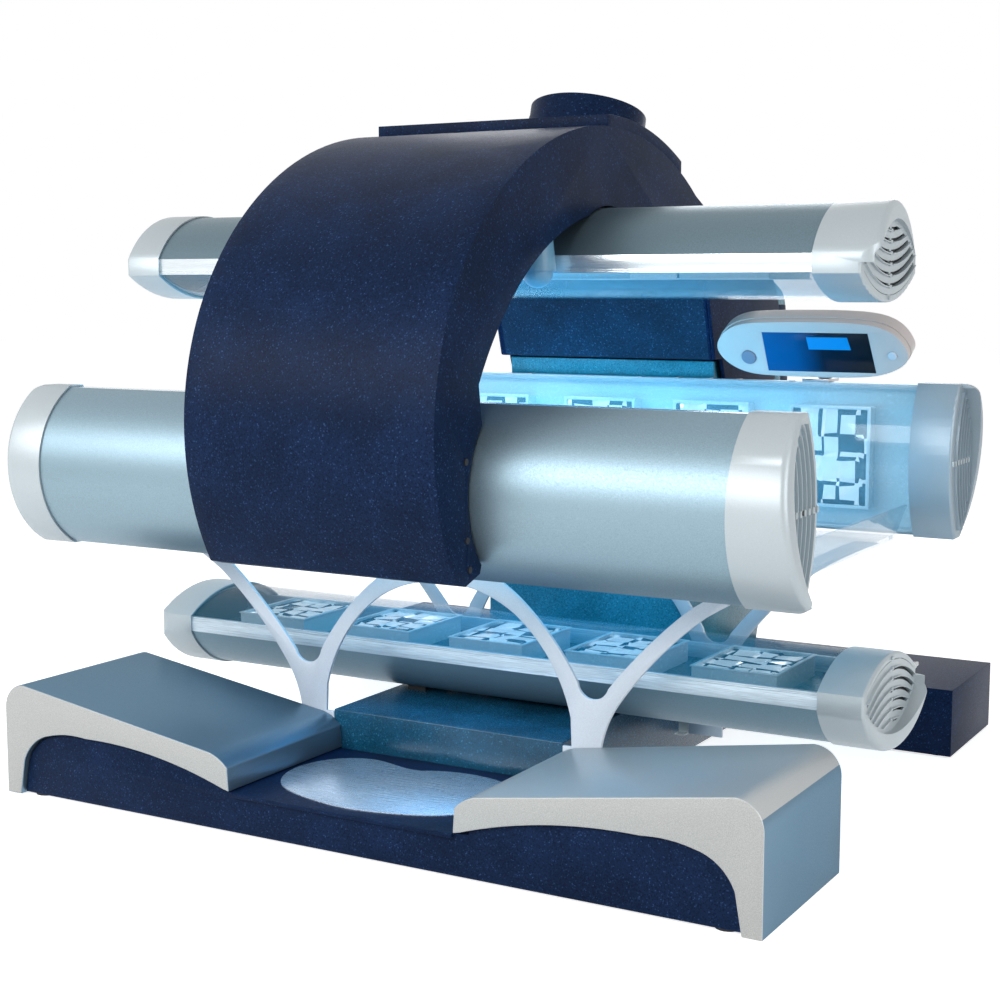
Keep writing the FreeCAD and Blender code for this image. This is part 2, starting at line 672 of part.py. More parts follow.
def canopy_ribs():
    """Two steel plates that run through the arch and carry both tubes from the hinge shaft."""
    x0, x1 = HALF_ARCH_INSIDE - RIB_THICKNESS, HALF_ARCH_INSIDE
    plate = along_x(arch_inset(ARCH_WALL + RIB_INSET), x0, x1)
    for name in CANOPY_TUBES:
        plate = plate.cut(tube_space(name, TUBE_NEST_GAP + LINER_WALL + RIB_INSET))
    plate = plate.cut(bar(LINER_CENTRE[0], LINER_CENTRE[1], LINER_RADIUS + LINER_WALL + RIB_INSET, -BIG, BIG).common(
        box(-BIG, BIG, -BIG, LINER_REAR[0] + LINER_WALL + RIB_INSET, LINER_LOW, BIG)))
    plate = plate.cut(along_x(liner_tail().makeOffset2D(RIB_INSET), -BIG, BIG))
    plate = one([plate, about_hinge(RIB_HUB, x0, x1)])
    plate = plate.cut(about_hinge(SHAFT_DIAMETER / 2, -BIG, BIG)).cut(screw_holes())
    return both_sides(plate)


HALF_CHEEK = HALF_ARCH + RUNNING_GAP + CHEEK_THICKNESS


def arch_screws():
    """Button-head screws through the arch's side walls into the ribs, beside the front tube."""
    screws = []
    for y, z in ARCH_SCREW_SPOTS:
        shank = bar(y, z, ARCH_SCREW_SHANK, HALF_ARCH_INSIDE - RIB_THICKNESS, HALF_ARCH)
        head = bar(y, z, ARCH_SCREW_HEAD, HALF_ARCH, HALF_ARCH + ARCH_SCREW_SHANK)
        screws += both_sides(one([shank, head]))
    return screws


def screw_holes():
    return Part.makeCompound([bar(y, z, ARCH_SCREW_SHANK, -BIG, BIG) for y, z in ARCH_SCREW_SPOTS])


def hinge_cheeks():
    """Round covers that close the hinge on both sides of the arch."""
    x0, x1 = HALF_ARCH, HALF_ARCH + CHEEK_THICKNESS
    tail = along_x(arch_profile(), x0, x1).common(about_hinge(CHEEK_REACH, x0, x1))
    cheek = one([tail, about_hinge(HINGE_COVER_RADIUS, x0, x1)])
    return both_sides(cheek)


def crank_pin_centre():
    return hinge_point(CRANK_RADIUS, CRANK_ANGLE)


def hinge_shaft():
    """Through shaft with two welded crank arms for the gas springs."""
    shaft = about_hinge(SHAFT_DIAMETER / 2, -HALF_ARCH, HALF_ARCH)
    pin_y, pin_z = crank_pin_centre()
    web = along_x(loop_face(polygon([
        (HINGE[0], HINGE[1] + SHAFT_DIAMETER / 2), (HINGE[0], HINGE[1] - SHAFT_DIAMETER / 2),
        (pin_y, pin_z - CRANK_PIN), (pin_y, pin_z + CRANK_PIN)])), CRANK_X, CRANK_X + CRANK_THICKNESS)
    boss = bar(pin_y, pin_z, CRANK_PIN, CRANK_X, CRANK_X + CRANK_THICKNESS)
    collar = about_hinge(SHAFT_HUB, CRANK_X, CRANK_X + CRANK_THICKNESS)
    pin = bar(pin_y, pin_z, CRANK_PIN / 2, CRANK_X - CRANK_PIN_REACH, CRANK_X)
    crank = one([web, boss, collar, pin])
    return [one([shaft, crank, mirrored_x(crank)])]


def canopy_saddles():
    """Rubber pads between the liner and the two canopy tubes."""
    pads = []
    for name in CANOPY_TUBES:
        place, turn = TUBES[name]
        for side in (-1, 1):
            x0 = side * (HALF_ARCH_INSIDE - 60) - 30
            pad = metal_half(TUBE_NEST_GAP, x0, x0 + 60).cut(metal_half(0, -BIG, BIG))
            pad = pad.common(slab(-BIG, BIG, x0, x0 + 60, HALF_WIDTH / 2))
            pads.append(placed(pad, place, turn))
    return pads


def duct_plate():
    """Curved plate on top of the arch with the round exhaust collar on its right half."""
    start = ellipse_angle_at_y(DUCT_PLATE_REAR)
    end = pi - ellipse_angle_at_y(DUCT_PLATE_FRONT)
    low_a, low_b = ellipse_point(start), ellipse_point(end)
    high_a = (low_a[0], ellipse_point(ellipse_angle_at_y(low_a[0], DUCT_PLATE), DUCT_PLATE)[1])
    high_b = (low_b[0], ellipse_point(pi - ellipse_angle_at_y(low_b[0], DUCT_PLATE), DUCT_PLATE)[1])
    plate = loop_face([
        ellipse_arc(0, start, end), line(low_b, high_b),
        ellipse_arc(DUCT_PLATE, ellipse_angle_at_y(low_a[0], DUCT_PLATE), pi - ellipse_angle_at_y(low_b[0], DUCT_PLATE)),
        line(high_a, low_a)])
    plate = along_x(plate, -HALF_ARCH, HALF_ARCH)
    under = along_x(loop_face([ellipse_arc(0, 0, pi), line(ellipse_point(0), ellipse_point(pi))]), -BIG, BIG)
    collar = duct_cylinder(DUCT_RADIUS, DUCT_DEPTH).cut(duct_cylinder(BIG / 2, DUCT_SPIGOT))
    collar = one([collar, duct_cylinder(DUCT_RADIUS - DUCT_SHOULDER, DUCT_SPIGOT)]).cut(under)
    return one([plate, collar]).cut(duct_cylinder(DUCT_BORE, DUCT_DEPTH, DUCT_SHOULDER))


def fan_guard():
    """Wire guard in the mouth of the collar; its hub carries the fan motor."""
    level = DUCT_TOP - DUCT_AXIS * (GUARD_WIRE + 1)
    rings = []
    for index in range(int((DUCT_BORE - GUARD_FIRST_RING) / GUARD_PITCH) + 1):
        rings.append(Part.makeTorus(GUARD_FIRST_RING + index * GUARD_PITCH, GUARD_WIRE / 2, level, DUCT_AXIS))
    hub = duct_cylinder(FAN_MOTOR, FAN_TOP - 4, -2.0)
    spokes = []
    across = DUCT_AXIS.cross(X_AXIS)
    for index in range(GUARD_SPOKES):
        angle = index * 2 * pi / GUARD_SPOKES
        ray = X_AXIS * cos(angle) + across * sin(angle)
        spokes.append(rod(level + ray * (FAN_MOTOR - GUARD_WIRE), level + ray * DUCT_BORE, GUARD_WIRE))
    guard = one([hub] + spokes + rings).cut(duct_cylinder(FAN_SHAFT / 2 + SHAFT_CLEARANCE, FAN_TOP, -FAN_SOCKET + 1))
    return guard.common(duct_cylinder(DUCT_BORE, DUCT_DEPTH, DUCT_SHOULDER))


def fan_impeller():
    """Hub and twisted blades on a short shaft under the motor."""
    centre = DUCT_TOP - DUCT_AXIS * (FAN_TOP + FAN_DEPTH / 2)
    tip = DUCT_BORE - FAN_TIP_GAP
    hub = duct_cylinder(FAN_HUB, FAN_TOP + FAN_DEPTH, -FAN_TOP)
    blades = []
    for index in range(FAN_BLADES):
        chord, thickness = FAN_BLADE_CHORD / 2, FAN_BLADE_THICKNESS / 2
        blade = box(FAN_HUB / 2, tip, -chord, chord, -thickness, thickness)
        blade.rotate(ORIGIN, X_AXIS, FAN_BLADE_PITCH)
        blade.rotate(ORIGIN, Z_AXIS, index * 360 / FAN_BLADES)
        blades.append(blade)
    fan = one(blades)
    fan.rotate(ORIGIN, X_AXIS, -degrees(atan(DUCT_SLOPE)))
    fan.translate(centre)
    rotor = one([hub, fan]).common(duct_cylinder(tip, FAN_TOP + FAN_DEPTH, -FAN_TOP))
    return one([rotor, duct_cylinder(FAN_SHAFT / 2, FAN_TOP + 1, -FAN_SOCKET)])


# ================================================================ rear column
COLUMN_SHELF = SHEET_TOP - SHEET_THICKNESS - SHELF_DROP
BACK_METAL_AXIS = (BACK_TUBE[0] - METAL_AXIS, BACK_TUBE[1])
SADDLE_RADIUS = METAL_RADIUS + TUBE_NEST_GAP
SADDLE_Y = BACK_METAL_AXIS[0] + sqrt(SADDLE_RADIUS ** 2 - HALF_WIDTH ** 2)


def column_profile():
    """Side view of the fixed column: a foot, a cradle for the back tube, a hinge barrel and a rounded back."""
    low = BACK_TUBE[1] - HALF_WIDTH
    high = BACK_TUBE[1] + HALF_WIDTH
    barrel_front = (HINGE[0] - sqrt(BARREL_RADIUS ** 2 - (HINGE[1] - LIP_TOP) ** 2), LIP_TOP)
    return loop_face([
        line((COLUMN_FRONT, SPINE_HEIGHT), (COLUMN_FRONT, COLUMN_SHELF)),
        line((COLUMN_FRONT, COLUMN_SHELF), (SADDLE_Y, COLUMN_SHELF)), line((SADDLE_Y, COLUMN_SHELF), (SADDLE_Y, low)),
        arc((SADDLE_Y, low), (BACK_METAL_AXIS[0] + SADDLE_RADIUS, BACK_TUBE[1]), (SADDLE_Y, high)),
        line((SADDLE_Y, high), (SADDLE_Y - SADDLE_LIP, LIP_TOP)), line((SADDLE_Y - SADDLE_LIP, LIP_TOP), barrel_front),
        arc(barrel_front, hinge_point(BARREL_RADIUS, 120), hinge_point(BARREL_RADIUS, SHOULDER_ANGLE)),
        line(hinge_point(BARREL_RADIUS, SHOULDER_ANGLE), hinge_point(HINGE_COVER_RADIUS, SHOULDER_ANGLE)),
        line(hinge_point(HINGE_COVER_RADIUS, SHOULDER_ANGLE), COLUMN_TOP_REAR),
        arc(COLUMN_TOP_REAR, COLUMN_TOP_BEND, COLUMN_REAR_HIGH),
        arc(COLUMN_REAR_HIGH, COLUMN_REAR_MID, COLUMN_REAR_LOW),
        line(COLUMN_REAR_LOW, (COLUMN_FOOT_REAR, REAR_BEAM_HEIGHT)),
        line((COLUMN_FOOT_REAR, REAR_BEAM_HEIGHT), (REAR_BEAM_FRONT, REAR_BEAM_HEIGHT)),
        line((REAR_BEAM_FRONT, REAR_BEAM_HEIGHT), (REAR_BEAM_FRONT, SPINE_HEIGHT)),
        line((REAR_BEAM_FRONT, SPINE_HEIGHT), (COLUMN_FRONT, SPINE_HEIGHT))])


HALF_COLUMN = COLUMN_WIDTH / 2
HALF_PEDESTAL = PEDESTAL_WIDTH / 2
BARREL_HALF = HALF_ARCH_INSIDE - RIB_THICKNESS - RIB_INSET
RECESS_RADIUS = HINGE_COVER_RADIUS + 8.0


def column_casing():
    """Hollow casing with round recesses for the hinge ribs, before the rear cover is parted from it."""
    outer = along_x(column_profile(), -HALF_COLUMN, HALF_COLUMN)
    inner = along_x(column_profile().makeOffset2D(-COLUMN_WALL), -HALF_COLUMN + COLUMN_WALL, HALF_COLUMN - COLUMN_WALL)
    for side in (-1, 1):
        x0, x1 = sorted((side * BARREL_HALF, side * BIG))
        outer = outer.cut(about_hinge(RECESS_RADIUS, x0, x1))
        x0, x1 = sorted((side * (BARREL_HALF - COLUMN_WALL), side * BIG))
        inner = inner.cut(about_hinge(RECESS_RADIUS + COLUMN_WALL, x0, x1))
        x0, x1 = sorted((side * HALF_PEDESTAL, side * BIG))
        outer = outer.cut(box(x0, x1, -BIG, BIG, -BIG, COLUMN_SHELF))
        x0, x1 = sorted((side * (HALF_PEDESTAL - COLUMN_WALL), side * BIG))
        inner = inner.cut(box(x0, x1, -BIG, BIG, -BIG, COLUMN_SHELF + COLUMN_WALL))
    casing = outer.cut(inner)
    return casing.cut(about_hinge(SHAFT_DIAMETER / 2 + 4, -BIG, BIG))


def rear_zone():
    ahead = along_x(column_profile(), -BIG / 2, BIG / 2)
    ahead.translate(V(0, -REAR_COVER_DEPTH, 0))
    block = box(-BIG, BIG, HINGE[0], BIG, COLUMN_SHELF + REAR_COVER_MARGIN, COLUMN_REAR_HIGH[1])
    return block.cut(ahead)


def column_frame():
    """Two steel side plates tied by tubes and a shelf; they carry the hinge bearings."""
    floor = SPINE_HEIGHT + COLUMN_WALL
    side = [(FRAME_SIDE[0][0], floor)] + list(FRAME_SIDE) + [(FRAME_SIDE[-1][0], floor)]
    plate = along_x(loop_face(polygon(side)), FRAME_X, FRAME_X + FRAME_PLATE)
    plate = plate.cut(about_hinge(BEARING_SPIGOT, -BIG, BIG))
    reach, depth, thickness = FRAME_FOOT
    foot = box(FRAME_X - reach, FRAME_X, FRAME_SIDE[0][0], FRAME_SIDE[0][0] + depth, floor, floor + thickness)
    stub = bar(crank_pin_centre()[0], SPRING_FOOT_Z, CRANK_PIN / 2, CRANK_X - CRANK_PIN_REACH, FRAME_X)
    parts = []
    for part in (plate, foot, stub):
        parts += both_sides(part)
    for y, z in FRAME_TUBE_SPOTS:
        parts.append(box(-FRAME_X, FRAME_X, y, y + FRAME_TUBE, z, z + FRAME_TUBE))
    front, rear, under = BALLAST_SHELF
    parts.append(box(-FRAME_X, FRAME_X, front, rear, under, under + BALLAST_SHELF_PLATE))
    return one(parts)


def hinge_bearings():
    housing = about_hinge(BEARING_RADIUS, FRAME_X - BEARING_WIDTH, FRAME_X)
    sleeve = about_hinge(BEARING_SPIGOT, FRAME_X, FRAME_X + FRAME_PLATE)
    bearing = one([housing, sleeve]).cut(about_hinge(SHAFT_DIAMETER / 2 + SHAFT_CLEARANCE, -BIG, BIG))
    return both_sides(bearing)


SPRING_X = CRANK_X - CRANK_PIN_REACH / 2
SPRING_TOP = SPRING_FOOT_Z + SPRING_TUBE_LENGTH


def spring_disc(radius, z0, z1):
    return Part.makeCylinder(radius, z1 - z0, V(SPRING_X, crank_pin_centre()[0], z0))


def spring_eye(radius, z):
    return bar(crank_pin_centre()[0], z, radius, SPRING_X - SPRING_EYE / 2, SPRING_X + SPRING_EYE / 2)


def gas_spring_tubes():
    neck_top = SPRING_FOOT_Z + SPRING_NECK
    tube = spring_disc(SPRING_TUBE / 2, neck_top, SPRING_TOP)
    bore = spring_disc(SPRING_TUBE / 2 - SPRING_TUBE_WALL, neck_top + SPRING_NECK / 2, SPRING_TOP - SPRING_NECK / 2)
    mouth = spring_disc(SPRING_ROD / 2 + SHAFT_CLEARANCE, SPRING_TOP - SPRING_NECK, SPRING_TOP + SPRING_NECK)
    neck = spring_disc(SPRING_EYE / 2, SPRING_FOOT_Z + SPRING_EYE / 2, neck_top)
    body = one([tube, spring_eye(CRANK_PIN, SPRING_FOOT_Z), neck]).cut(bore).cut(mouth)
    hole = bar(crank_pin_centre()[0], SPRING_FOOT_Z, CRANK_PIN / 2 + SHAFT_CLEARANCE, -BIG, BIG)
    return both_sides(body.cut(hole))


def gas_spring_rods():
    y, z = crank_pin_centre()
    foot = SPRING_TOP - SPRING_DIP
    hole = CRANK_PIN / 2 + SPRING_EYE_PLAY
    stem = spring_disc(SPRING_ROD / 2, foot, z - CRANK_PIN + SPRING_EYE_PLAY)
    piston = spring_disc(SPRING_TUBE / 2 - SPRING_TUBE_WALL - SHAFT_CLEARANCE, foot - SPRING_PISTON, foot)
    ring = one([spring_eye(hole + SPRING_EYE_WALL, z), stem, piston]).cut(bar(y, z, hole, -BIG, BIG))
    return both_sides(ring)


def ballasts():
    blocks = []
    width, depth, height = BALLAST_BLOCK
    floor = BALLAST_SHELF[2] + BALLAST_SHELF_PLATE
    for index in range(BALLAST_COUNT):
        x = (index - (BALLAST_COUNT - 1) / 2) * BALLAST_PITCH
        blocks.append(box(x - width / 2, x + width / 2, BALLAST_FRONT, BALLAST_FRONT + depth, floor, floor + height))
    return blocks


def mains_inlet():
    """Gland for the supply cable in the rear face of the rear beam."""
    def disc(radius, y0, y1):
        return Part.makeCylinder(radius, y1 - y0, V(INLET_X, y0, INLET_Z), Y_AXIS)
    flange = disc(INLET_FLANGE, REAR_BEAM_REAR, REAR_BEAM_REAR + INLET_LIP)
    sleeve = disc(INLET_HOLE, REAR_BEAM_REAR - BEAM_WALL - INLET_LIP, REAR_BEAM_REAR)
    return one([flange, sleeve]).cut(disc(INLET_BORE, 0, BIG))


def inlet_hole():
    return Part.makeCylinder(INLET_HOLE, REAR_BEAM_REAR, V(INLET_X, REAR_BEAM_FRONT + BEAM_WALL, INLET_Z), Y_AXIS)


# ================================================================ base
def bench_outline():
    """Front view of the right bench cover."""
    end = (BENCH_END, BENCH_HEIGHT)
    inner_x, inner_z = BENCH_INNER_TOP
    tip_x, tip_z = BENCH_TIP
    leg_in = BENCH_END - BENCH_LEG
    slope = (BENCH_HEIGHT - inner_z) / (BENCH_END - BENCH_CORNER - inner_x)
    bow = BENCH_CORNER * (1 - sqrt(0.5))
    shoulder = BENCH_END - BENCH_CORNER
    nose = (inner_x + BENCH_NOSE, inner_z + BENCH_NOSE * slope)
    chin = (tip_x + BENCH_NOSE / 8, inner_z - BENCH_NOSE)
    outside = [
        line((leg_in, BENCH_FLOOR_GAP), (BENCH_END, BENCH_FLOOR_GAP)),
        line((BENCH_END, BENCH_FLOOR_GAP), (BENCH_END, BENCH_HEIGHT - BENCH_CORNER)),
        arc((BENCH_END, BENCH_HEIGHT - BENCH_CORNER), (end[0] - bow, end[1] - bow), (shoulder, BENCH_HEIGHT)),
        line((shoulder, BENCH_HEIGHT), nose),
        arc(nose, (inner_x + BENCH_NOSE / 15, inner_z - BENCH_NOSE / 5), chin),
        line(chin, (tip_x, tip_z)),
    ]
    under = BENCH_UNDERSIDE
    underside = [
        line((tip_x, tip_z), under[0]), arc(under[0], under[1], under[2]), arc(under[2], under[3], under[4]),
        arc(under[4], under[5], under[6]), line(under[6], (leg_in, BENCH_FLOOR_GAP))]
    return loop_face(outside + underside)


def bench_cover():
    face = bench_outline()
    outer = along_y(face, BENCH_FRONT, BENCH_REAR)
    inner = along_y(face.makeOffset2D(-BENCH_WALL), BENCH_FRONT + BENCH_WALL, BENCH_REAR - BENCH_WALL)
    return outer.cut(inner)


def beam_block(inset):
    """The front beam's outer form, drawn in from every face by an inset."""
    half = BENCH_END - BENCH_LEG - BEAM_GAP - inset
    front = BENCH_FRONT + BEAM_RECESS + inset
    block = box(-half, half, front, BENCH_REAR - inset, FLOOR_GAP + inset, BEAM_TOP - inset)
    covers = along_y(bench_outline().makeOffset2D(BEAM_GAP + inset), -BIG, BIG)
    reach = BENCH_TIP[0] + BENCH_CORNER / 2 + inset
    above = box(-reach, reach, -BIG, BIG, STEP_HEIGHT - inset, BIG)
    for shape in both_sides(covers) + [above]:
        block = block.cut(shape)
    return max(block.Solids, key=lambda solid: solid.Volume)


def front_beam():
    """Welded beam that fills the benches from below and forms the step between them."""
    half = BENCH_TIP[0] - BEAM_GAP
    nosing = box(-half, half, BENCH_FRONT, BENCH_FRONT + BEAM_RECESS, STEP_HEIGHT - STEP_NOSING, STEP_HEIGHT)
    return one([beam_block(0), nosing]).cut(beam_block(BEAM_WALL))


def step_tread():
    """Polished leaf-shaped inlay on the step."""
    points = list(TREAD_LEAF) + [(-x, y) for x, y in reversed(TREAD_LEAF[1:-1])]
    curve = Part.BSplineCurve()
    curve.interpolate([V(x, y, STEP_HEIGHT) for x, y in points], PeriodicFlag=True)
    return Part.Face(Part.Wire(curve.toShape())).extrude(V(0, 0, TREAD_THICKNESS))


HALF_SPINE = SPINE_WIDTH / 2


def spine_box():
    outer = box(-HALF_SPINE, HALF_SPINE, BENCH_REAR, REAR_BEAM_FRONT, FLOOR_GAP, SPINE_HEIGHT)
    inner = box(-HALF_SPINE + BEAM_WALL, HALF_SPINE - BEAM_WALL, BENCH_REAR + BEAM_WALL, REAR_BEAM_FRONT - BEAM_WALL,
                FLOOR_GAP + BEAM_WALL, SPINE_HEIGHT - BEAM_WALL)
    return outer.cut(inner)


def rear_beam():
    outer = box(-REAR_BEAM_HALF, REAR_BEAM_HALF, REAR_BEAM_FRONT, REAR_BEAM_REAR, FLOOR_GAP, REAR_BEAM_HEIGHT)
    inner = box(-REAR_BEAM_HALF + BEAM_WALL, REAR_BEAM_HALF - BEAM_WALL, REAR_BEAM_FRONT + BEAM_WALL,
                REAR_BEAM_REAR - BEAM_WALL, FLOOR_GAP + BEAM_WALL, REAR_BEAM_HEIGHT - BEAM_WALL)
    return outer.cut(inner).cut(inlet_hole())


def levelling_feet():
    """Round pads under the corners of both beams, with one under the middle of the spine."""
    front_x = BENCH_END - BENCH_LEG - FOOT_INSET
    rear_x = REAR_BEAM_HALF - FOOT_INSET
    places = [(front_x, BENCH_FRONT + FOOT_INSET), (front_x, BENCH_REAR - FOOT_INSET),
              (rear_x, REAR_BEAM_FRONT + FOOT_INSET), (rear_x, REAR_BEAM_REAR - FOOT_INSET)]
    feet = [Part.makeCylinder(FOOT_RADIUS, FLOOR_GAP)]
    for x, y in places:
        feet += both_sides(Part.makeCylinder(FOOT_RADIUS, FLOOR_GAP, V(x, y, 0)))
    return feet


def wishbone(y0):
    """Wavy plate with two feet: outer arms rise to the sheet's ends, inner arms meet in a middle arch."""
    seat = SHEET_TOP - SHEET_THICKNESS
    side = HALF_SPINE
    foot_x, low, high = WISHBONE_FOOT
    bridge_x, bridge_z = WISHBONE_BRIDGE
    out = WISHBONE_OUTSIDE
    toe_in, toe_out = WISHBONE_TOE
    dip = WISHBONE_INSIDE
    mid = WISHBONE_MIDDLE
    edges = [
        line((side, low), (foot_x, low)), line((foot_x, low), out[0]),
        arc(out[0], out[1], out[2]), arc(out[2], out[3], out[4]),
        arc(out[4], out[5], (toe_out, seat)), line((toe_out, seat), (toe_in, seat)),
        arc((toe_in, seat), dip[0], dip[1]), arc(dip[1], dip[2], dip[3]),
        arc(dip[3], dip[4], dip[5]), arc(dip[5], dip[6], dip[7]),
        arc(dip[7], dip[8], (bridge_x, seat)), line((bridge_x, seat), (0.0, seat)),
        line((0.0, seat), (0.0, bridge_z)),
        arc((0.0, bridge_z), mid[0], mid[1]), arc(mid[1], mid[2], mid[3]),
        line(mid[3], (WISHBONE_ANKLE, high)), line((WISHBONE_ANKLE, high), (side, high)),
        line((side, high), (side, low))]
    half = along_y(loop_face(edges), y0, y0 + WISHBONE_THICKNESS)
    return one([half, mirrored_x(half)])


def lying_sheet():
    """Clear acrylic sheet between the front and the back tube, with flared lips at both ends."""
    z0 = SHEET_TOP - SHEET_THICKNESS
    top = SHEET_TOP + SHEET_LIP_HEIGHT
    root = SHEET_HALF_LENGTH - SHEET_LIP_ROOT
    tip = SHEET_HALF_LENGTH + SHEET_LIP_FLARE
    front, rear = SHEET_LIP_MARGINS
    lip = along_y(loop_face(polygon([
        (root, z0), (SHEET_HALF_LENGTH, z0), (tip, top), (tip - SHEET_THICKNESS, top), (root, SHEET_TOP)])),
        SHEET_FRONT + front, SHEET_REAR - rear)
    flat = box(-root, root, SHEET_FRONT, SHEET_REAR, z0, SHEET_TOP)
    return one([flat, lip, mirrored_x(lip)])


def base_saddles():
    """Rubber pads under the back tube and the low tube."""
    pads = []
    for side in (-1, 1):
        x0 = side * (HALF_COLUMN - 70) - 30
        pad = metal_half(TUBE_NEST_GAP, x0, x0 + 60).cut(metal_half(0, -BIG, BIG))
        pad = pad.common(slab(-BIG, BIG, x0, x0 + 60, HALF_WIDTH / 2))
        pads.append(placed(pad, BACK_TUBE, 90.0))
        block = box(x0, x0 + 60, -60, 60, -METAL_DEPTH - BAND - 20, -BAND)
        block = block.cut(metal_half(0, -BIG, BIG))
        block = placed(block, LOW_TUBE, 0.0)
        pads.append(block.common(box(-BIG, BIG, -BIG, BIG, SPINE_HEIGHT, BIG)))
    return pads


def clear_clips():
    """Two clear clips of the low tube: a cable hook under its shell and a tab behind its right cap."""
    bottom = LOW_TUBE[1] - BAND - METAL_DEPTH
    y = LOW_TUBE[0]
    arm = box(CLIP_X, CLIP_X + CLIP_WIDTH, y, y + CLIP_THICKNESS, bottom - CLIP_HEIGHT, bottom)
    foot = box(CLIP_X, CLIP_X + CLIP_WIDTH, y - CLIP_WIDTH, y, bottom - CLIP_HEIGHT, bottom - CLIP_HEIGHT + CLIP_THICKNESS)
    edge = y + HALF_WIDTH + CAP_WALL
    x = CAP_OUTER_X - CLIP_TAB_INSET
    tab = along_x(loop_face(polygon([(edge + a, LOW_TUBE[1] + b) for a, b in CLIP_TAB])), x, x + CLIP_THICKNESS)
    return [one([arm, foot]), tab]


# ================================================================ control pod
POD_NORMAL = V(0, -cos(radians(POD_TILT)), -sin(radians(POD_TILT)))
POD_UP = V(0, -sin(radians(POD_TILT)), cos(radians(POD_TILT)))


def pod_frame(shape):
    """From pod axes (x along, y up the face, z out of the face) to the machine."""
    matrix = FreeCAD.Matrix(
        1, POD_UP.x, POD_NORMAL.x, POD_CENTRE[0], 0, POD_UP.y, POD_NORMAL.y, POD_CENTRE[1],
        0, POD_UP.z, POD_NORMAL.z, POD_CENTRE[2], 0, 0, 0, 1)
    shape.Placement = FreeCAD.Placement(matrix).multiply(shape.Placement)
    return shape


def pod_oval(inset=0.0):
    length = POD_HALF_LENGTH - inset
    height = POD_HALF_HEIGHT - inset
    quarter = [(length, 0), (0.84 * length, 0.70 * height), (0.46 * length, 0.97 * height), (0, height)]
    right = quarter + [(x, -y) for x, y in reversed(quarter[1:])]
    upper = quarter[:-1] + [(0, height)]
    points = upper + [(-x, y) for x, y in reversed(quarter[:-1])]
    points += [(-x, -y) for x, y in quarter[1:-1]] + [(0, -height)] + [(x, -y) for x, y in reversed(quarter[1:-1])]
    curve = Part.BSplineCurve()
    curve.interpolate([V(x, y, 0) for x, y in points], PeriodicFlag=True)
    return Part.Face(Part.Wire(curve.toShape()))


def pod_prism(inset, z0, z1):
    solid = pod_oval(inset).extrude(V(0, 0, z1 - z0))
    solid.translate(V(0, 0, z0))
    return solid


POD_FRONT = POD_THICKNESS / 2
POD_SPLIT = POD_FRONT - POD_FACE_DEPTH
DISPLAY_OUTLINE = [(-137.0, 57.0), (178.0, 57.0), (186.0, -74.0), (-138.0, -74.0)]


def display_prism(grow, z0, z1):
    face = Part.Face(Part.makePolygon([V(x, y, 0) for x, y in DISPLAY_OUTLINE + DISPLAY_OUTLINE[:1]]))
    if grow:
        face = face.makeOffset2D(grow)
    solid = face.extrude(V(0, 0, z1 - z0))
    solid.translate(V(0, 0, z0))
    return solid


def pod_parts():
    face = pod_prism(POD_SEAM, POD_SPLIT, POD_FRONT)
    face = face.cut(pod_prism(POD_SEAM + POD_WALL, POD_SPLIT, POD_FRONT - POD_WALL))
    face = face.cut(display_prism(0.0, POD_FRONT - DISPLAY_DEPTH, POD_FRONT + 1))
    back = pod_prism(0.0, -POD_FRONT, POD_SPLIT)
    back = back.cut(pod_prism(POD_WALL, -POD_FRONT + POD_WALL, POD_SPLIT))
    lug_z = -POD_FRONT - POD_HINGE_OFFSET
    inner = BRACKET_WIDTH / 2 + LUG_GAP
    outer = inner + LUG_THICKNESS
    lug = box(inner, outer, -KNUCKLE_RADIUS, KNUCKLE_RADIUS, lug_z, -POD_FRONT)
    lug = one([lug, Part.makeCylinder(KNUCKLE_RADIUS, LUG_THICKNESS, V(inner, 0, lug_z), X_AXIS)])
    pin = Part.makeCylinder(POD_PIN, 2 * outer, V(-outer, 0, lug_z), X_AXIS)
    back = one([back, pin] + both_sides(lug))
    buttons = []
    for x, y, radius in (START_BUTTON, SELECT_BUTTON):
        hole = Part.makeCylinder(radius + BUTTON_GAP, BIG, V(x, y, POD_FRONT - BUTTON_WELL))
        shaft = Part.makeCylinder(BUTTON_STEM + BUTTON_GAP, BIG, V(x, y, 0))
        guide = Part.makeCylinder(radius + BUTTON_STEM, POD_FACE_DEPTH - POD_WALL, V(x, y, POD_SPLIT))
        face = one([face, guide]).cut(hole).cut(shaft)
        skirt = BUTTON_WELL - 2 * START_TRAVEL
        cap = Part.makeCylinder(radius, skirt + BUTTON_HEIGHT, V(x, y, POD_FRONT - skirt))
        stem = Part.makeCylinder(BUTTON_STEM, POD_FACE_DEPTH - skirt, V(x, y, POD_SPLIT))
        buttons.append(one([cap, stem]))
    glass = display_prism(-0.3, POD_FRONT - DISPLAY_DEPTH, POD_FRONT)
    return {"pod_back": back, "pod_face": face, "pod_display": glass,
            "start_button": buttons[0], "select_button": buttons[1]}


def pod_hinge():
    """Point on the pod's tilt axis (y, z)."""
    offset = POD_THICKNESS / 2 + POD_HINGE_OFFSET
    return (POD_CENTRE[1] - POD_NORMAL.y * offset, POD_CENTRE[2] - POD_NORMAL.z * offset)


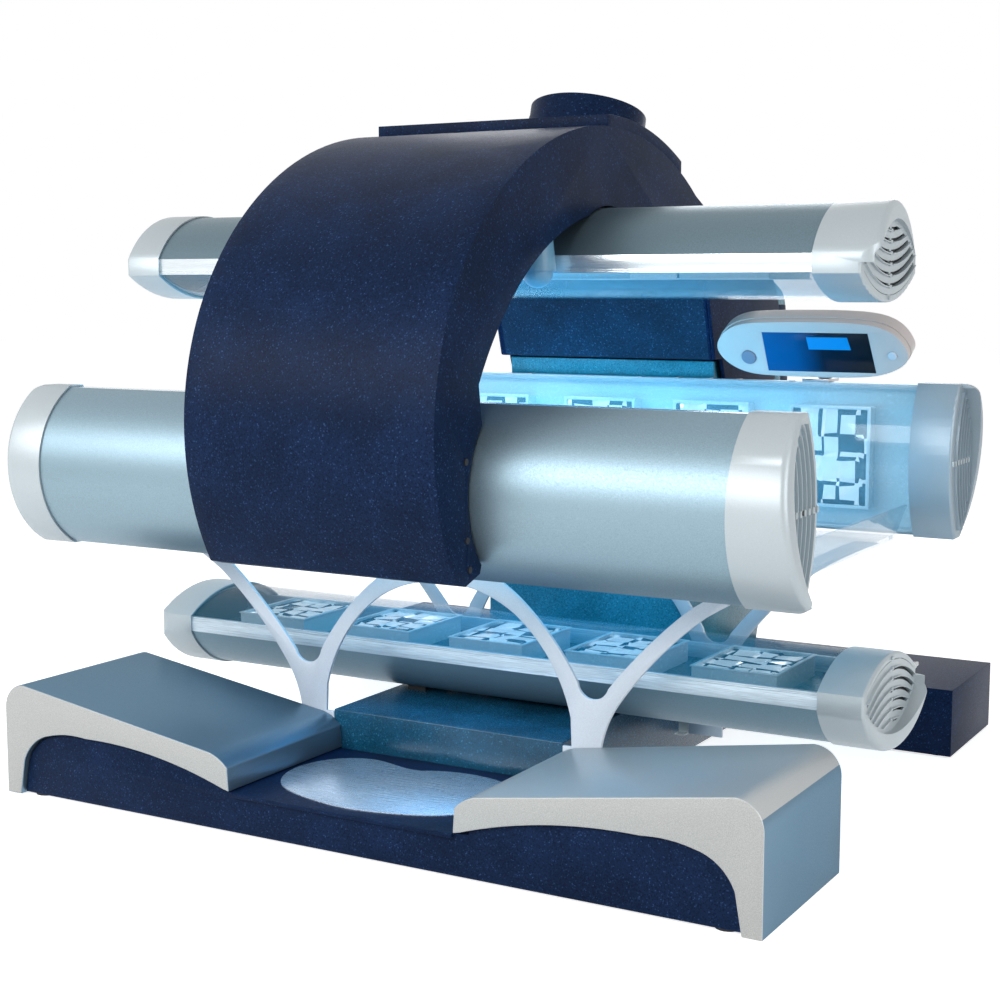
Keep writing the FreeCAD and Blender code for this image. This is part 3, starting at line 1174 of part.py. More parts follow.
def pod_bracket():
    """Foot on the back tube's upper rail, a neck behind the pod and a knuckle on its hinge pin."""
    y, z = pod_hinge()
    rail_top = BACK_TUBE[1] + HALF_WIDTH
    x_mid = POD_CENTRE[0]
    half = BRACKET_WIDTH / 2
    rear = y + BRACKET_REACH
    foot = box(x_mid - BRACKET_WIDTH, x_mid + BRACKET_WIDTH, BACK_TUBE[0] - BAND, rear, rail_top, rail_top + BRACKET_PLATE)
    neck = box(x_mid - half, x_mid + half, rear - BRACKET_PLATE, rear, rail_top, z + KNUCKLE_RADIUS)
    arm = box(x_mid - half, x_mid + half, y, rear, z - KNUCKLE_RADIUS, z + KNUCKLE_RADIUS)
    knuckle = bar(y, z, KNUCKLE_RADIUS, x_mid - half, x_mid + half)
    return one([foot, neck, arm, knuckle]).cut(bar(y, z, POD_PIN + SHAFT_CLEARANCE, -BIG, BIG))


# ================================================================ air nozzle
def nozzle_ball():
    centre = V(*NOZZLE_CENTRE)
    ball = Part.makeSphere(NOZZLE_BALL, centre)
    aim = V(0.25, 0.45, -0.85)
    aim.normalize()
    return ball.cut(Part.makeCylinder(NOZZLE_BORE, 2 * NOZZLE_BALL, centre, aim))


def nozzle_seat():
    """Stalk from the liner that ends in a ring around the ball's upper half."""
    centre = V(*NOZZLE_CENTRE)
    top = liner_point(NOZZLE_CENTRE[1])[1]
    stalk = Part.makeCone(NOZZLE_SEAT, 34.0, top - centre.z + 20, centre + V(0, 0, 4))
    roof = bar(LINER_CENTRE[0], LINER_CENTRE[1], LINER_RADIUS, -BIG, BIG)
    stalk = stalk.common(roof)
    return stalk.cut(Part.makeSphere(NOZZLE_BALL + RUNNING_GAP, centre))


# ================================================================ write everything
nodes = {}


def add(name, shapes):
    nodes[name] = shapes if isinstance(shapes, list) else [shapes]


def build():
    for name, (place, turn) in TUBES.items():
        tube_nodes(name, place, turn)
    add("canopy_burners", burner_set(CANOPY_TUBES))
    add("base_burners", burner_set(BASE_TUBES))
    add("arch_shell", arch_shell())
    add("arch_liner", arch_liner())
    add("canopy_ribs", canopy_ribs())
    add("hinge_cheeks", hinge_cheeks())
    add("arch_screws", arch_screws())
    add("hinge_shaft", hinge_shaft())
    add("canopy_saddles", canopy_saddles())
    add("duct_plate", duct_plate())
    add("fan_guard", fan_guard())
    add("fan_impeller", fan_impeller())
    casing = column_casing()
    zone = rear_zone()
    add("column_casing", casing.cut(zone))
    add("rear_cover", casing.common(zone))
    add("mains_inlet", mains_inlet())
    add("column_frame", column_frame())
    add("hinge_bearings", hinge_bearings())
    add("gas_spring_tubes", gas_spring_tubes())
    add("gas_spring_rods", gas_spring_rods())
    add("ballasts", ballasts())
    bench = bench_cover()
    add("bench_cover_right", bench)
    add("bench_cover_left", mirrored_x(bench))
    add("front_beam", front_beam())
    add("step_tread", step_tread())
    add("spine_box", spine_box())
    add("rear_beam", rear_beam())
    add("levelling_feet", levelling_feet())
    add("wishbone_front", wishbone(BENCH_REAR))
    add("wishbone_rear", wishbone(COLUMN_FRONT - WISHBONE_THICKNESS))
    add("lying_sheet", lying_sheet())
    add("base_saddles", base_saddles())
    add("clear_clips", clear_clips())
    for name, shape in pod_parts().items():
        add(name, pod_frame(shape))
    add("pod_bracket", pod_bracket())
    add("nozzle_ball", nozzle_ball())
    add("nozzle_seat", nozzle_seat())


def export():
    os.makedirs("parts", exist_ok=True)
    for name, shapes in nodes.items():
        solids = [solid for shape in shapes for solid in shape.Solids]
        whole = solids[0] if len(solids) == 1 else Part.makeCompound(solids)
        whole.exportStep(os.path.join("parts", name + ".step"))
        room = whole.BoundBox
        print("%-28s %3d solids  %8.0f cm3  valid %s  x %.0f..%.0f  y %.0f..%.0f  z %.0f..%.0f" % (
            name, len(solids), whole.Volume / 1000, whole.isValid(),
            room.XMin, room.XMax, room.YMin, room.YMax, room.ZMin, room.ZMax))


build()
export()
print("nodes:", len(nodes))
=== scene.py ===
# %% [markdown]
# # A lie-down tanning machine
#
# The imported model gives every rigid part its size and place.  This file dresses it:
# it puts a camera and soft light around the machine, gives every surface a finish, and
# adds the pieces and the rounded edges that the plain solids lack.

# %% The frame: every part at its real place, in metres
import json
import random
from math import cos, pi, radians, sin

import bmesh
import bpy
from mathutils import Matrix, Vector


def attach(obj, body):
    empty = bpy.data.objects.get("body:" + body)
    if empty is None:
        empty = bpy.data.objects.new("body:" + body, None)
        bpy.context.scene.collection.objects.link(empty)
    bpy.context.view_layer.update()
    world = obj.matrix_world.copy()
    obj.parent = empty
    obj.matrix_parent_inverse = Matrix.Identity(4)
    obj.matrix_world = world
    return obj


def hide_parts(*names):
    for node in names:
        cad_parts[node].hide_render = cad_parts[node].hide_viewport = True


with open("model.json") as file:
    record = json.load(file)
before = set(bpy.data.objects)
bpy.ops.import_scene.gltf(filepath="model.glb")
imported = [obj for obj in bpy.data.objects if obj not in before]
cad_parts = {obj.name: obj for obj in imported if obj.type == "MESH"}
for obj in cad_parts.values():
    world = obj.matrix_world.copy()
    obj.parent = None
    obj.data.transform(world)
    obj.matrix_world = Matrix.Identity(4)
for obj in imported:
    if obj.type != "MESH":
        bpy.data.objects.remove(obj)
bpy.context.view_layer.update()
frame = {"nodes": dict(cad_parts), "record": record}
NODES = frame["nodes"]
BODIES = frame["record"]["behaviour"]["bodies"]
BODY_OF = {node: body for body, nodes in BODIES.items() for node in nodes}
print("parts:", len(NODES), "bodies:", len(BODIES))

# %% [markdown]
# ## Camera
#
# The machine is seen from a standing person's height, a little from its head end.  A
# camera looks along its own -Z, so turning -Z into the view direction while Y stays up
# aims it in one line.

# %% Camera
CAMERA_PLACE = Vector((2.397, -4.346, 1.400))
CAMERA_TURN = radians(29.9)       # from +Y towards -X
CAMERA_TILT = radians(7.1)        # downwards
CAMERA_LENS = 62.06               # for a sensor 36 mm wide
CAMERA_SENSOR = 36.0


def make_camera():
    data = bpy.data.cameras.new("camera")
    data.lens = CAMERA_LENS
    data.sensor_width = CAMERA_SENSOR
    camera = bpy.data.objects.new("camera", data)
    bpy.context.scene.collection.objects.link(camera)
    level = cos(CAMERA_TILT)
    ahead = Vector((-sin(CAMERA_TURN) * level, cos(CAMERA_TURN) * level, -sin(CAMERA_TILT)))
    camera.location = CAMERA_PLACE
    camera.rotation_euler = ahead.to_track_quat("-Z", "Y").to_euler()
    bpy.context.scene.camera = camera


make_camera()
bpy.context.scene.view_settings.view_transform = "Standard"
print("camera at", tuple(CAMERA_PLACE))

# %% [markdown]
# ## Stage and light
#
# A white floor and a white world make a plain studio.  The floor has to stay white for
# the eye and still show a soft shadow, so its material adds a little light of its own,
# but only to rays that come from the camera or from a mirror or glass.  The same trick
# in the world keeps the background at 1.0 while it lights the machine more gently.

# %% World and floor
WORLD_LIGHT = 0.31
FLOOR_SIZE = 60.0
FLOOR_GLOW = 0.75
FLOOR_TONE = 0.84
WHITE = (1.0, 1.0, 1.0)


def seen_directly(tree):
    """1 for camera, glossy and transmission rays, 0 for the rest."""
    path = tree.nodes.new("ShaderNodeLightPath")
    total = path.outputs["Is Camera Ray"]
    for ray in ("Is Glossy Ray", "Is Transmission Ray"):
        add = tree.nodes.new("ShaderNodeMath")
        add.operation = "MAXIMUM"
        tree.links.new(total, add.inputs[0])
        tree.links.new(path.outputs[ray], add.inputs[1])
        total = add.outputs[0]
    return total


def make_world():
    world = bpy.data.worlds.new("studio")
    world.use_nodes = True
    bpy.context.scene.world = world
    tree = world.node_tree
    level = tree.nodes.new("ShaderNodeMapRange")
    level.inputs["To Min"].default_value = WORLD_LIGHT
    level.inputs["To Max"].default_value = 1.0
    tree.links.new(seen_directly(tree), level.inputs["Value"])
    tree.links.new(level.outputs["Result"], tree.nodes["Background"].inputs["Strength"])
    tree.nodes["Background"].inputs["Color"].default_value = (*WHITE, 1.0)


def floor_finish():
    mat = bpy.data.materials.new("studio_floor")
    mat.use_nodes = True
    tree = mat.node_tree
    bsdf = tree.nodes["Principled BSDF"]
    bsdf.inputs["Base Color"].default_value = (FLOOR_TONE, FLOOR_TONE, FLOOR_TONE, 1.0)
    bsdf.inputs["Roughness"].default_value = 0.9
    bsdf.inputs["Specular IOR Level"].default_value = 0.0
    bsdf.inputs["Emission Color"].default_value = (*WHITE, 1.0)
    glow = tree.nodes.new("ShaderNodeMath")
    glow.operation = "MULTIPLY"
    glow.inputs[1].default_value = FLOOR_GLOW
    tree.links.new(seen_directly(tree), glow.inputs[0])
    tree.links.new(glow.outputs[0], bsdf.inputs["Emission Strength"])
    return mat


def make_floor():
    bm = bmesh.new()
    bmesh.ops.create_grid(bm, x_segments=1, y_segments=1, size=FLOOR_SIZE / 2)
    mesh = bpy.data.meshes.new("studio_floor")
    bm.to_mesh(mesh)
    bm.free()
    mesh.materials.append(floor_finish())
    floor = bpy.data.objects.new("studio_floor", mesh)
    bpy.context.scene.collection.objects.link(floor)


make_world()
make_floor()
print("stage ready")

# %% [markdown]
# ## Soft boxes, and the glow of the lamps
#
# Three large area lights stand in for studio soft boxes; the one in front is long, so that
# it draws a highlight along the front tube.  The machine is switched on: its four tubes
# throw a cyan light into the tunnel.  A long narrow area light in front of each tube's
# acrylic side does that with far less noise than a glowing mesh.

# %% Lights
GLOW_COLOUR = (0.22, 0.68, 0.95)
TUBE_GLOWS = {                       # place in metres, direction, power in watts
    "top_tube": ((0.0, -0.2255, 1.355), (0, 0, -1), 15.0),
    "front_tube": ((0.0, -0.698, 0.908), (0, 1, 0), 8.0),
    "back_tube": ((0.0, 0.378, 0.908), (0, -1, 0), 11.0),
    "low_tube": ((0.0, -0.117, 0.472), (0, 0, 1), 8.0),
}
GLOW_LENGTH = 0.96
GLOW_WIDTH = 0.30
SOFT_BOXES = {                       # place in metres, power in watts, size in metres
    "key_box": ((-1.7, -5.6, 3.2), 285.0, (6.6, 2.0)),
    "side_box": ((5.4, -1.6, 2.4), 90.0, (2.8, 2.8)),
    "rear_box": ((-1.5, 4.8, 3.4), 90.0, (3.4, 2.0)),
}
LIT_MIDDLE = Vector((0.0, -0.1, 0.8))    # the soft boxes all face this point


def area_light(name, place, ahead, power, size, colour):
    data = bpy.data.lights.new(name, "AREA")
    data.shape = "RECTANGLE"
    data.size, data.size_y = size
    data.energy = power
    data.color = colour
    light = bpy.data.objects.new(name, data)
    light.location = place
    light.rotation_euler = Vector(ahead).to_track_quat("-Z", "Y").to_euler()
    bpy.context.scene.collection.objects.link(light)
    return light


for name, (place, power, size) in SOFT_BOXES.items():
    area_light(name, place, LIT_MIDDLE - Vector(place), power, size, WHITE)
for tube, (place, ahead, power) in TUBE_GLOWS.items():
    glow = area_light("glow_" + tube, place, ahead, power, (GLOW_LENGTH, GLOW_WIDTH), GLOW_COLOUR)
    glow.visible_camera = False
    glow.visible_glossy = False
    glow.visible_transmission = False

# %% [markdown]
# ## A workshop of finishes
#
# Every finish starts as a Principled shader.  Three helpers then add what makes a surface
# look real: a pattern on Object coordinates, a ramp that turns the pattern into colour or
# roughness, and a bump.  Constants are set straight on the shader's sockets, whose names
# are written here with underscores in place of blanks.

# %% Helpers for finishes


def shader_of(mat):
    return mat.node_tree.nodes["Principled BSDF"]


def set_sockets(mat, **sockets):
    for socket, value in sockets.items():
        shader_of(mat).inputs[socket.replace("_", " ")].default_value = value


def new_finish(name, colour, metallic, roughness, **sockets):
    mat = bpy.data.materials.new(name)
    mat.use_nodes = True
    set_sockets(mat, Base_Color=(*colour, 1.0), Metallic=metallic, Roughness=roughness, **sockets)
    return mat


EVEN = (1.0, 1.0, 1.0)


def pattern(mat, kind, scale, stretch=EVEN, **inputs):
    """A texture on Object coordinates; returns its node."""
    tree = mat.node_tree
    coords = tree.nodes.new("ShaderNodeTexCoord")
    mapping = tree.nodes.new("ShaderNodeMapping")
    mapping.inputs["Scale"].default_value = stretch
    texture = tree.nodes.new("ShaderNodeTex" + kind)
    texture.inputs["Scale"].default_value = scale
    for socket, value in inputs.items():
        texture.inputs[socket].default_value = value
    tree.links.new(coords.outputs["Object"], mapping.inputs["Vector"])
    tree.links.new(mapping.outputs["Vector"], texture.inputs["Vector"])
    return texture


def ramp(mat, source, stops, socket=None):
    """Turns a 0 to 1 pattern into colours; stops are (position, colour)."""
    tree = mat.node_tree
    node = tree.nodes.new("ShaderNodeValToRGB")
    keys = node.color_ramp.elements
    while len(keys) < len(stops):
        keys.new(0.5)
    for key, (position, colour) in zip(keys, stops):
        key.position = position
        key.color = (*colour, 1.0)
    tree.links.new(source, node.inputs["Fac"])
    if socket:
        tree.links.new(node.outputs["Color"], shader_of(mat).inputs[socket])
    return node.outputs["Color"]


def grey(value):
    return (value, value, value)


def bump(mat, source, strength, distance):
    tree = mat.node_tree
    node = tree.nodes.new("ShaderNodeBump")
    node.inputs["Strength"].default_value = strength
    node.inputs["Distance"].default_value = distance
    tree.links.new(source, node.inputs["Height"])
    tree.links.new(node.outputs["Normal"], shader_of(mat).inputs["Normal"])


print("helpers for finishes ready")

# %% [markdown]
# ## Navy flake paint
#
# The arch and the beams are sprayed in dark navy with silver flakes, and a satin clear
# coat; the spine, the column and the arch's liner wear smoother coats of the same paint.
# The spine's coat is tinted bluer and the column's teal: painted cyan light from the tubes.
# The liner's coat is a little bluer.  Voronoi cells of three millimetres give every flake
# its own brightness: most are nearly as dark as the paint and a few sparkle.  A slow noise
# adds the cloudy look of sprayed metallic paint.

# %% Navy finishes
FLAKE_SCALE = 320.0
CLOUD_SCALE = 7.0
SPRAY_SCALE = 700.0


def navy_finish(name, dark, light, sparkle, roughness, gloss):
    mat = new_finish(name, light, 0.0, roughness, Specular_IOR_Level=gloss)
    tree = mat.node_tree
    flakes = pattern(mat, "Voronoi", FLAKE_SCALE)
    tones = [(0.0, dark), (0.55, light), (0.80, light), (1.0, sparkle)]
    colour = ramp(mat, flakes.outputs["Color"], tones)
    clouds = pattern(mat, "Noise", CLOUD_SCALE, Detail=3.0)
    shade = ramp(mat, clouds.outputs["Fac"], [(0.35, grey(0.78)), (0.65, grey(1.12))])
    product = tree.nodes.new("ShaderNodeMix")
    product.data_type = "RGBA"
    product.blend_type = "MULTIPLY"
    product.inputs["Factor"].default_value = 1.0
    tree.links.new(colour, product.inputs["A"])
    tree.links.new(shade, product.inputs["B"])
    tree.links.new(product.outputs["Result"], shader_of(mat).inputs["Base Color"])
    grain = pattern(mat, "Noise", SPRAY_SCALE, Detail=2.0)
    spread = [(0.3, grey(roughness - 0.08)), (0.7, grey(roughness + 0.12))]
    ramp(mat, grain.outputs["Fac"], spread, "Roughness")
    bump(mat, grain.outputs["Fac"], 0.22, 0.0004)
    return mat


NAVY = navy_finish(
    "navy_flake_paint", (0.002, 0.007, 0.026), (0.006, 0.018, 0.056), (0.032, 0.080, 0.20), 0.42, 0.06)
# The spine's coat: a smoother gloss, tinted bluer as painted cyan light.
NAVY_GLOSS_PAINTED_CYAN_LIGHT = navy_finish(
    "navy_gloss_paint_painted_cyan_light", (0.003, 0.040, 0.080), (0.007, 0.078, 0.150), (0.05, 0.26, 0.42), 0.22, 0.35)
# The column's teal: painted cyan light on the navy paint.
NAVY_PAINTED_CYAN_LIGHT = navy_finish(
    "navy_paint_painted_cyan_light", (0.010, 0.125, 0.190), (0.020, 0.240, 0.350), (0.08, 0.44, 0.60), 0.24, 0.35)
NAVY_LINER = navy_finish(
    "navy_liner", (0.002, 0.014, 0.034), (0.006, 0.034, 0.076), (0.04, 0.14, 0.26), 0.32, 0.15)
print("navy finishes ready")

# %% [markdown]
# ## Silver finishes
#
# The tubes are metallic silver paint with a fine grain, the rails are drawn aluminium with
# lines along their length, and the caps are a warmer satin silver.  The top and low tubes'
# shells, the back and low tubes' rails and the back tube's caps take darker copies of
# these finishes: painted shade.  The benches are a smooth metallic finish; the one by the
# head end takes a lighter tone of it, painted light, and the other a darker tone, painted
# shade, both standing in for what the benches mirror.  One noise serves colour and bump,
# a slower one varies the roughness.

# %% Silver finishes
ALONG_RAIL = (0.25, 14.0, 14.0)
ALONG_TREAD = (0.3, 9.0, 9.0)
ALONG_ROD = (0.4, 8.0, 8.0)
BENCH_TINT = (0.36, 0.45, 0.52, 1.0)


def grained_silver(name, tone, metallic, roughness, scale, depth, relief, stretch=EVEN):
    """Metal or metallic paint: depth is how much the grain shades it, relief how rough it is."""
    mat = new_finish(name, tone, metallic, roughness)
    grain = pattern(mat, "Noise", scale, stretch, Detail=3.0, Roughness=0.6)
    dark = tuple(c * (1.0 - 2.2 * depth) for c in tone)
    light = tuple(min(1.0, c * (1.0 + 1.6 * depth)) for c in tone)
    ramp(mat, grain.outputs["Fac"], [(0.30, dark), (0.70, light)], "Base Color")
    rough = pattern(mat, "Noise", scale * 0.6, stretch, Detail=2.0)
    low, high = roughness * 0.85, roughness * 1.2
    ramp(mat, rough.outputs["Fac"], [(0.3, grey(low)), (0.7, grey(high))], "Roughness")
    bump(mat, grain.outputs["Fac"], relief, 0.0005)
    return mat


TUBE_SILVER = grained_silver("tube_silver", (0.24, 0.34, 0.40), 0.80, 0.42, 420.0, 0.07, 0.07)
# The top and low tubes' shells are darker copies of the tube silver: painted shade.
TOP_TUBE_PAINTED_SHADE = grained_silver("top_tube_silver_painted_shade", (0.15, 0.22, 0.26), 0.80, 0.42, 420.0, 0.07, 0.07)
LOW_TUBE_PAINTED_SHADE = grained_silver("low_tube_silver_painted_shade", (0.16, 0.27, 0.34), 0.35, 0.42, 420.0, 0.07, 0.07)
CAP_SILVER = grained_silver("cap_silver", (0.46, 0.52, 0.55), 0.30, 0.38, 500.0, 0.03, 0.04)
# The back and low tubes' rails are a dimmer copy of the drawn rail: painted shade.
RAIL_SATIN_PAINTED_SHADE = grained_silver("rail_satin_painted_shade", (0.60, 0.71, 0.79), 0.30, 0.36, 60.0, 0.14, 0.10, ALONG_RAIL)
# The back tube's caps are a darker copy of the cap silver: painted shade.
CAP_PAINTED_SHADE = grained_silver("cap_painted_shade", (0.30, 0.38, 0.44), 0.30, 0.38, 500.0, 0.03, 0.04)
RAIL_BRIGHT = grained_silver("rail_drawn", (0.80, 0.87, 0.91), 0.80, 0.22, 60.0, 0.05, 0.06, ALONG_RAIL)
# The benches' lighter tone is painted light and the darker one painted shade, for what they mirror.
BENCH_PAINTED_LIGHT = grained_silver("bench_painted_light", (0.54, 0.55, 0.55), 0.55, 0.36, 500.0, 0.04, 0.03)
BENCH_PAINTED_SHADE = grained_silver("bench_painted_shade", (0.17, 0.26, 0.34), 0.80, 0.34, 500.0, 0.04, 0.03)
set_sockets(BENCH_PAINTED_LIGHT, Specular_Tint=BENCH_TINT)
set_sockets(BENCH_PAINTED_SHADE, Specular_Tint=BENCH_TINT)
BENCH_EDGE = grained_silver("bench_edge", (0.46, 0.47, 0.46), 0.20, 0.46, 420.0, 0.12, 0.18)
BONE_SILVER = grained_silver("wishbone_silver", (0.60, 0.64, 0.70), 0.25, 0.38, 480.0, 0.04, 0.08)
TREAD_STEEL = grained_silver("tread_steel", (0.62, 0.74, 0.88), 0.80, 0.28, 90.0, 0.06, 0.06, ALONG_TREAD)
BARE_STEEL = grained_silver("bare_steel", (0.50, 0.52, 0.54), 1.0, 0.30, 120.0, 0.05, 0.12, ALONG_ROD)
BALLAST_IRON = grained_silver("ballast_iron", (0.18, 0.18, 0.19), 0.6, 0.62, 160.0, 0.15, 0.4)
TRAY_ALUMINIUM = grained_silver("tray_aluminium", (0.74, 0.88, 0.94), 0.12, 0.24, 260.0, 0.04, 0.04)
TRAY_SHADE = grained_silver("tray_shade", (0.02, 0.11, 0.16), 0.60, 0.28, 260.0, 0.06, 0.04)
FRAME_BRIGHT = grained_silver("box_frame", (0.80, 0.90, 0.95), 0.15, 0.30, 260.0, 0.03, 0.04)
# The panes' bright finish and its glow are painted reflection and painted glow; the dark one is painted dark
# reflection.
FILTER_PAINTED_LIGHT = grained_silver("filter_painted_light", (0.84, 0.92, 0.96), 0.40, 0.10, 35.0, 0.06, 0.05)
set_sockets(FILTER_PAINTED_LIGHT, Emission_Color=(0.80, 0.93, 1.0, 1.0), Emission_Strength=0.36)
FILTER_PAINTED_DARK = grained_silver("filter_painted_dark", (0.03, 0.12, 0.17), 0.90, 0.08, 35.0, 0.10, 0.05)
print("silver finishes ready")

# %% [markdown]
# ## Clear and dark finishes
#
# The acrylic is thin and clear, so it is given a low alpha instead of refraction: light
# passes and the sheet keeps its cool tint and its shine.  The tubes' covers also glow a
# little, painted glow of the lamps behind them, and the low tube's cover is a darker copy,
# painted shade.  The rest are plain rubbers and plastics with a fine moulded grain; the
# front tube's vent mesh is a pale copy that glows, painted light.

# %% Acrylic, glass, rubber and plastics
MOULD_SCALE = 900.0


def clear_finish(name, colour, alpha, glow=0.0, coat=1.0):
    mat = new_finish(name, colour, 0.0, 0.06, Alpha=alpha, Coat_Weight=coat, Coat_Roughness=0.03,
                     Emission_Color=(*colour, 1.0), Emission_Strength=glow)
    streak = pattern(mat, "Noise", 3.0, (0.6, 5.0, 5.0), Detail=2.0)
    low = tuple(0.82 * c for c in colour)
    ramp(mat, streak.outputs["Fac"], [(0.3, low), (0.7, colour)], "Base Color")
    return mat


def moulded(name, colour, roughness, depth=0.12):
    mat = new_finish(name, colour, 0.0, roughness)
    grain = pattern(mat, "Noise", MOULD_SCALE, Detail=2.0)
    dark = tuple((1.0 - depth) * c for c in colour)
    light = tuple(min(1.0, (1.0 + depth) * c) for c in colour)
    ramp(mat, grain.outputs["Fac"], [(0.3, dark), (0.7, light)], "Base Color")
    bump(mat, grain.outputs["Fac"], 0.15, 0.0003)
    return mat


# The covers' faint emission is painted glow; the low tube's darker cover is painted shade.
ACRYLIC = clear_finish("clear_acrylic", (0.26, 0.54, 0.70), 0.20, 0.06)
LOW_ACRYLIC_PAINTED_SHADE = clear_finish("low_acrylic_painted_shade", (0.02, 0.24, 0.36), 0.22, 0.03, coat=0.25)
SHEET_ACRYLIC = clear_finish("sheet_acrylic", (0.10, 0.38, 0.56), 0.36)
CLIP_ACRYLIC = clear_finish("clip_acrylic", (0.70, 0.76, 0.74), 0.45)
QUARTZ = new_finish("quartz_burner", (0.85, 0.95, 1.0), 0.0, 0.05,
                    Emission_Color=(0.55, 0.85, 1.0, 1.0), Emission_Strength=0.5)
CERAMIC = moulded("lamp_ceramic", (0.78, 0.80, 0.80), 0.45, 0.05)
VENT_MESH = moulded("vent_mesh", (0.020, 0.024, 0.026), 0.65, 0.30)
# The front tube's vent mesh is pale and glows: painted light of its lamps.
VENT_MESH_PAINTED_GLOW = moulded("vent_mesh_painted_glow", (0.62, 0.76, 0.84), 0.55, 0.10)
set_sockets(VENT_MESH_PAINTED_GLOW, Emission_Color=(0.70, 0.86, 0.95, 1.0), Emission_Strength=0.5)
RUBBER = moulded("black_rubber", (0.015, 0.015, 0.016), 0.7)
BLACK_PLASTIC = moulded("black_plastic", (0.02, 0.02, 0.022), 0.5)
NOZZLE_GREY = moulded("nozzle_grey", (0.14, 0.32, 0.46), 0.35)
POD_SILVER = moulded("pod_silver", (0.62, 0.57, 0.56), 0.28, 0.03)
BUTTON_GREY = moulded("button_grey", (0.20, 0.23, 0.32), 0.35, 0.04)
BUTTON_PALE = moulded("button_pale", (0.62, 0.68, 0.76), 0.20, 0.02)
FRAME_PAINT = moulded("frame_paint", (0.04, 0.045, 0.05), 0.45)
print("clear and dark finishes ready")

# %% [markdown]
# ## Dressing a rigid part
#
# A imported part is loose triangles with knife-sharp edges.  A copy of it is merged, its flat
# faces are joined again, and the sharp edges get a real radius, because no moulded or
# bent part has an edge that catches no light.  The copy then stands for the part.

# %% Helpers for pieces
MERGE = 0.00002
FLAT = radians(0.4)
SHARP = radians(32)


def make_piece(bm, name, mat, body, replaced=(), sharp=SHARP):
    """Turns a finished bmesh into a piece that rides on a body."""
    for face in bm.faces:
        face.smooth = True
    for edge in bm.edges:
        edge.smooth = edge.calc_face_angle(0.0) < sharp
    mesh = bpy.data.meshes.new(name)
    bm.to_mesh(mesh)
    bm.free()
    mesh.materials.append(mat)
    piece = bpy.data.objects.new(name, mesh)
    bpy.context.scene.collection.objects.link(piece)
    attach(piece, body)
    if replaced:
        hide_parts(*replaced)
    return piece


def copy_of(node):
    """A merged copy of a part, with its flat faces whole again."""
    bm = bmesh.new()
    bm.from_mesh(NODES[node].data)
    bmesh.ops.remove_doubles(bm, verts=bm.verts, dist=MERGE)
    bmesh.ops.dissolve_limit(bm, angle_limit=FLAT, verts=bm.verts, edges=bm.edges)
    return bm


def sharp_edges(bm):
    return [edge for edge in bm.edges if len(edge.link_faces) == 2 and edge.calc_face_angle() > SHARP]


def round_edges(bm, edges, radius, segments=3):
    bmesh.ops.bevel(bm, geom=edges, offset=radius, offset_type="OFFSET", segments=segments,
                    profile=0.5, affect="EDGES", clamp_overlap=True, material=-1)


def dress(node, mat, radius=0.0, segments=3):
    bm = copy_of(node)
    if radius:
        round_edges(bm, sharp_edges(bm), radius, segments)
    return make_piece(bm, node + "_dressed", mat, BODY_OF[node], (node,))


def second_finish(piece, mat, test):
    """Gives the faces that pass the test another finish; returns how many there are."""
    piece.data.materials.append(mat)
    faces = [face for face in piece.data.polygons if test(face)]
    for face in faces:
        face.material_index = len(piece.data.materials) - 1
    return len(faces)


def repaint(node, mat):
    """Gives a part that stays as it is a better finish."""
    mesh = NODES[node].data
    mesh.materials.clear()
    mesh.materials.append(mat)


print("helpers for pieces ready")

# %% [markdown]
# ## The parts, one by one
#
# Outer mouldings get a generous radius, sheet metal a small one, and the parts inside the
# machine keep their plain shape with a better finish.

# %% Outer parts
DRESSED = {                      # part: finish, edge radius in metres
    "arch_shell": (NAVY, 0.009),
    "hinge_cheeks": (NAVY, 0.005),
    "duct_plate": (NAVY, 0.006),
    # The column's teal coat is painted cyan light.
    "column_casing": (NAVY_PAINTED_CYAN_LIGHT, 0.005),
    "rear_cover": (NAVY, 0.003),
    "front_beam": (NAVY, 0.002),
    "rear_beam": (NAVY, 0.004),
    "spine_box": (NAVY_GLOSS_PAINTED_CYAN_LIGHT, 0.004),
    # The two bench tones are painted light and painted shade of one finish.
    "bench_cover_right": (BENCH_PAINTED_LIGHT, 0.003),
    "bench_cover_left": (BENCH_PAINTED_SHADE, 0.003),
    "wishbone_front": (BONE_SILVER, 0.0015),
    "wishbone_rear": (BONE_SILVER, 0.0015),
    "step_tread": (TREAD_STEEL, 0.0008),
    "pod_back": (POD_SILVER, 0.004),
    "pod_face": (POD_SILVER, 0.005),
    "pod_bracket": (BARE_STEEL, 0.001),
    "nozzle_ball": (NOZZLE_GREY, 0.001),
    "nozzle_seat": (NOZZLE_GREY, 0.002),
    "lying_sheet": (SHEET_ACRYLIC, 0.002),
    "clear_clips": (CLIP_ACRYLIC, 0.001),
    "start_button": (BUTTON_GREY, 0.002),
    "select_button": (BUTTON_PALE, 0.003),
}
for node, (mat, radius) in DRESSED.items():
    piece = dress(node, mat, radius)
    print(piece.name, len(piece.data.polygons), "faces")

# %% [markdown]
# ## Bench profiles and end
#
# The sawn profile of a bench is duller than its polished top, and the end wall of the right
# one takes the darker tone, painted shade, as it lies in the shade.  The faces are told
# apart by where they look, so one test on the normal is enough and no face has to be picked
# by hand.

# %% Second finishes of the benches
STRAIGHT = 0.9                   # a face looks straight along an axis from this share on
for side in ("right", "left"):
    bench = bpy.data.objects["bench_cover_" + side + "_dressed"]
    count = second_finish(bench, BENCH_EDGE, lambda face: face.normal.y < -STRAIGHT)
    print(bench.name, count, "profile faces")
# The end wall of the right bench takes the darker tone: painted shade.
bench = bpy.data.objects["bench_cover_right_dressed"]
print(bench.name, second_finish(bench, BENCH_PAINTED_SHADE, lambda face: face.normal.x > STRAIGHT), "end faces")

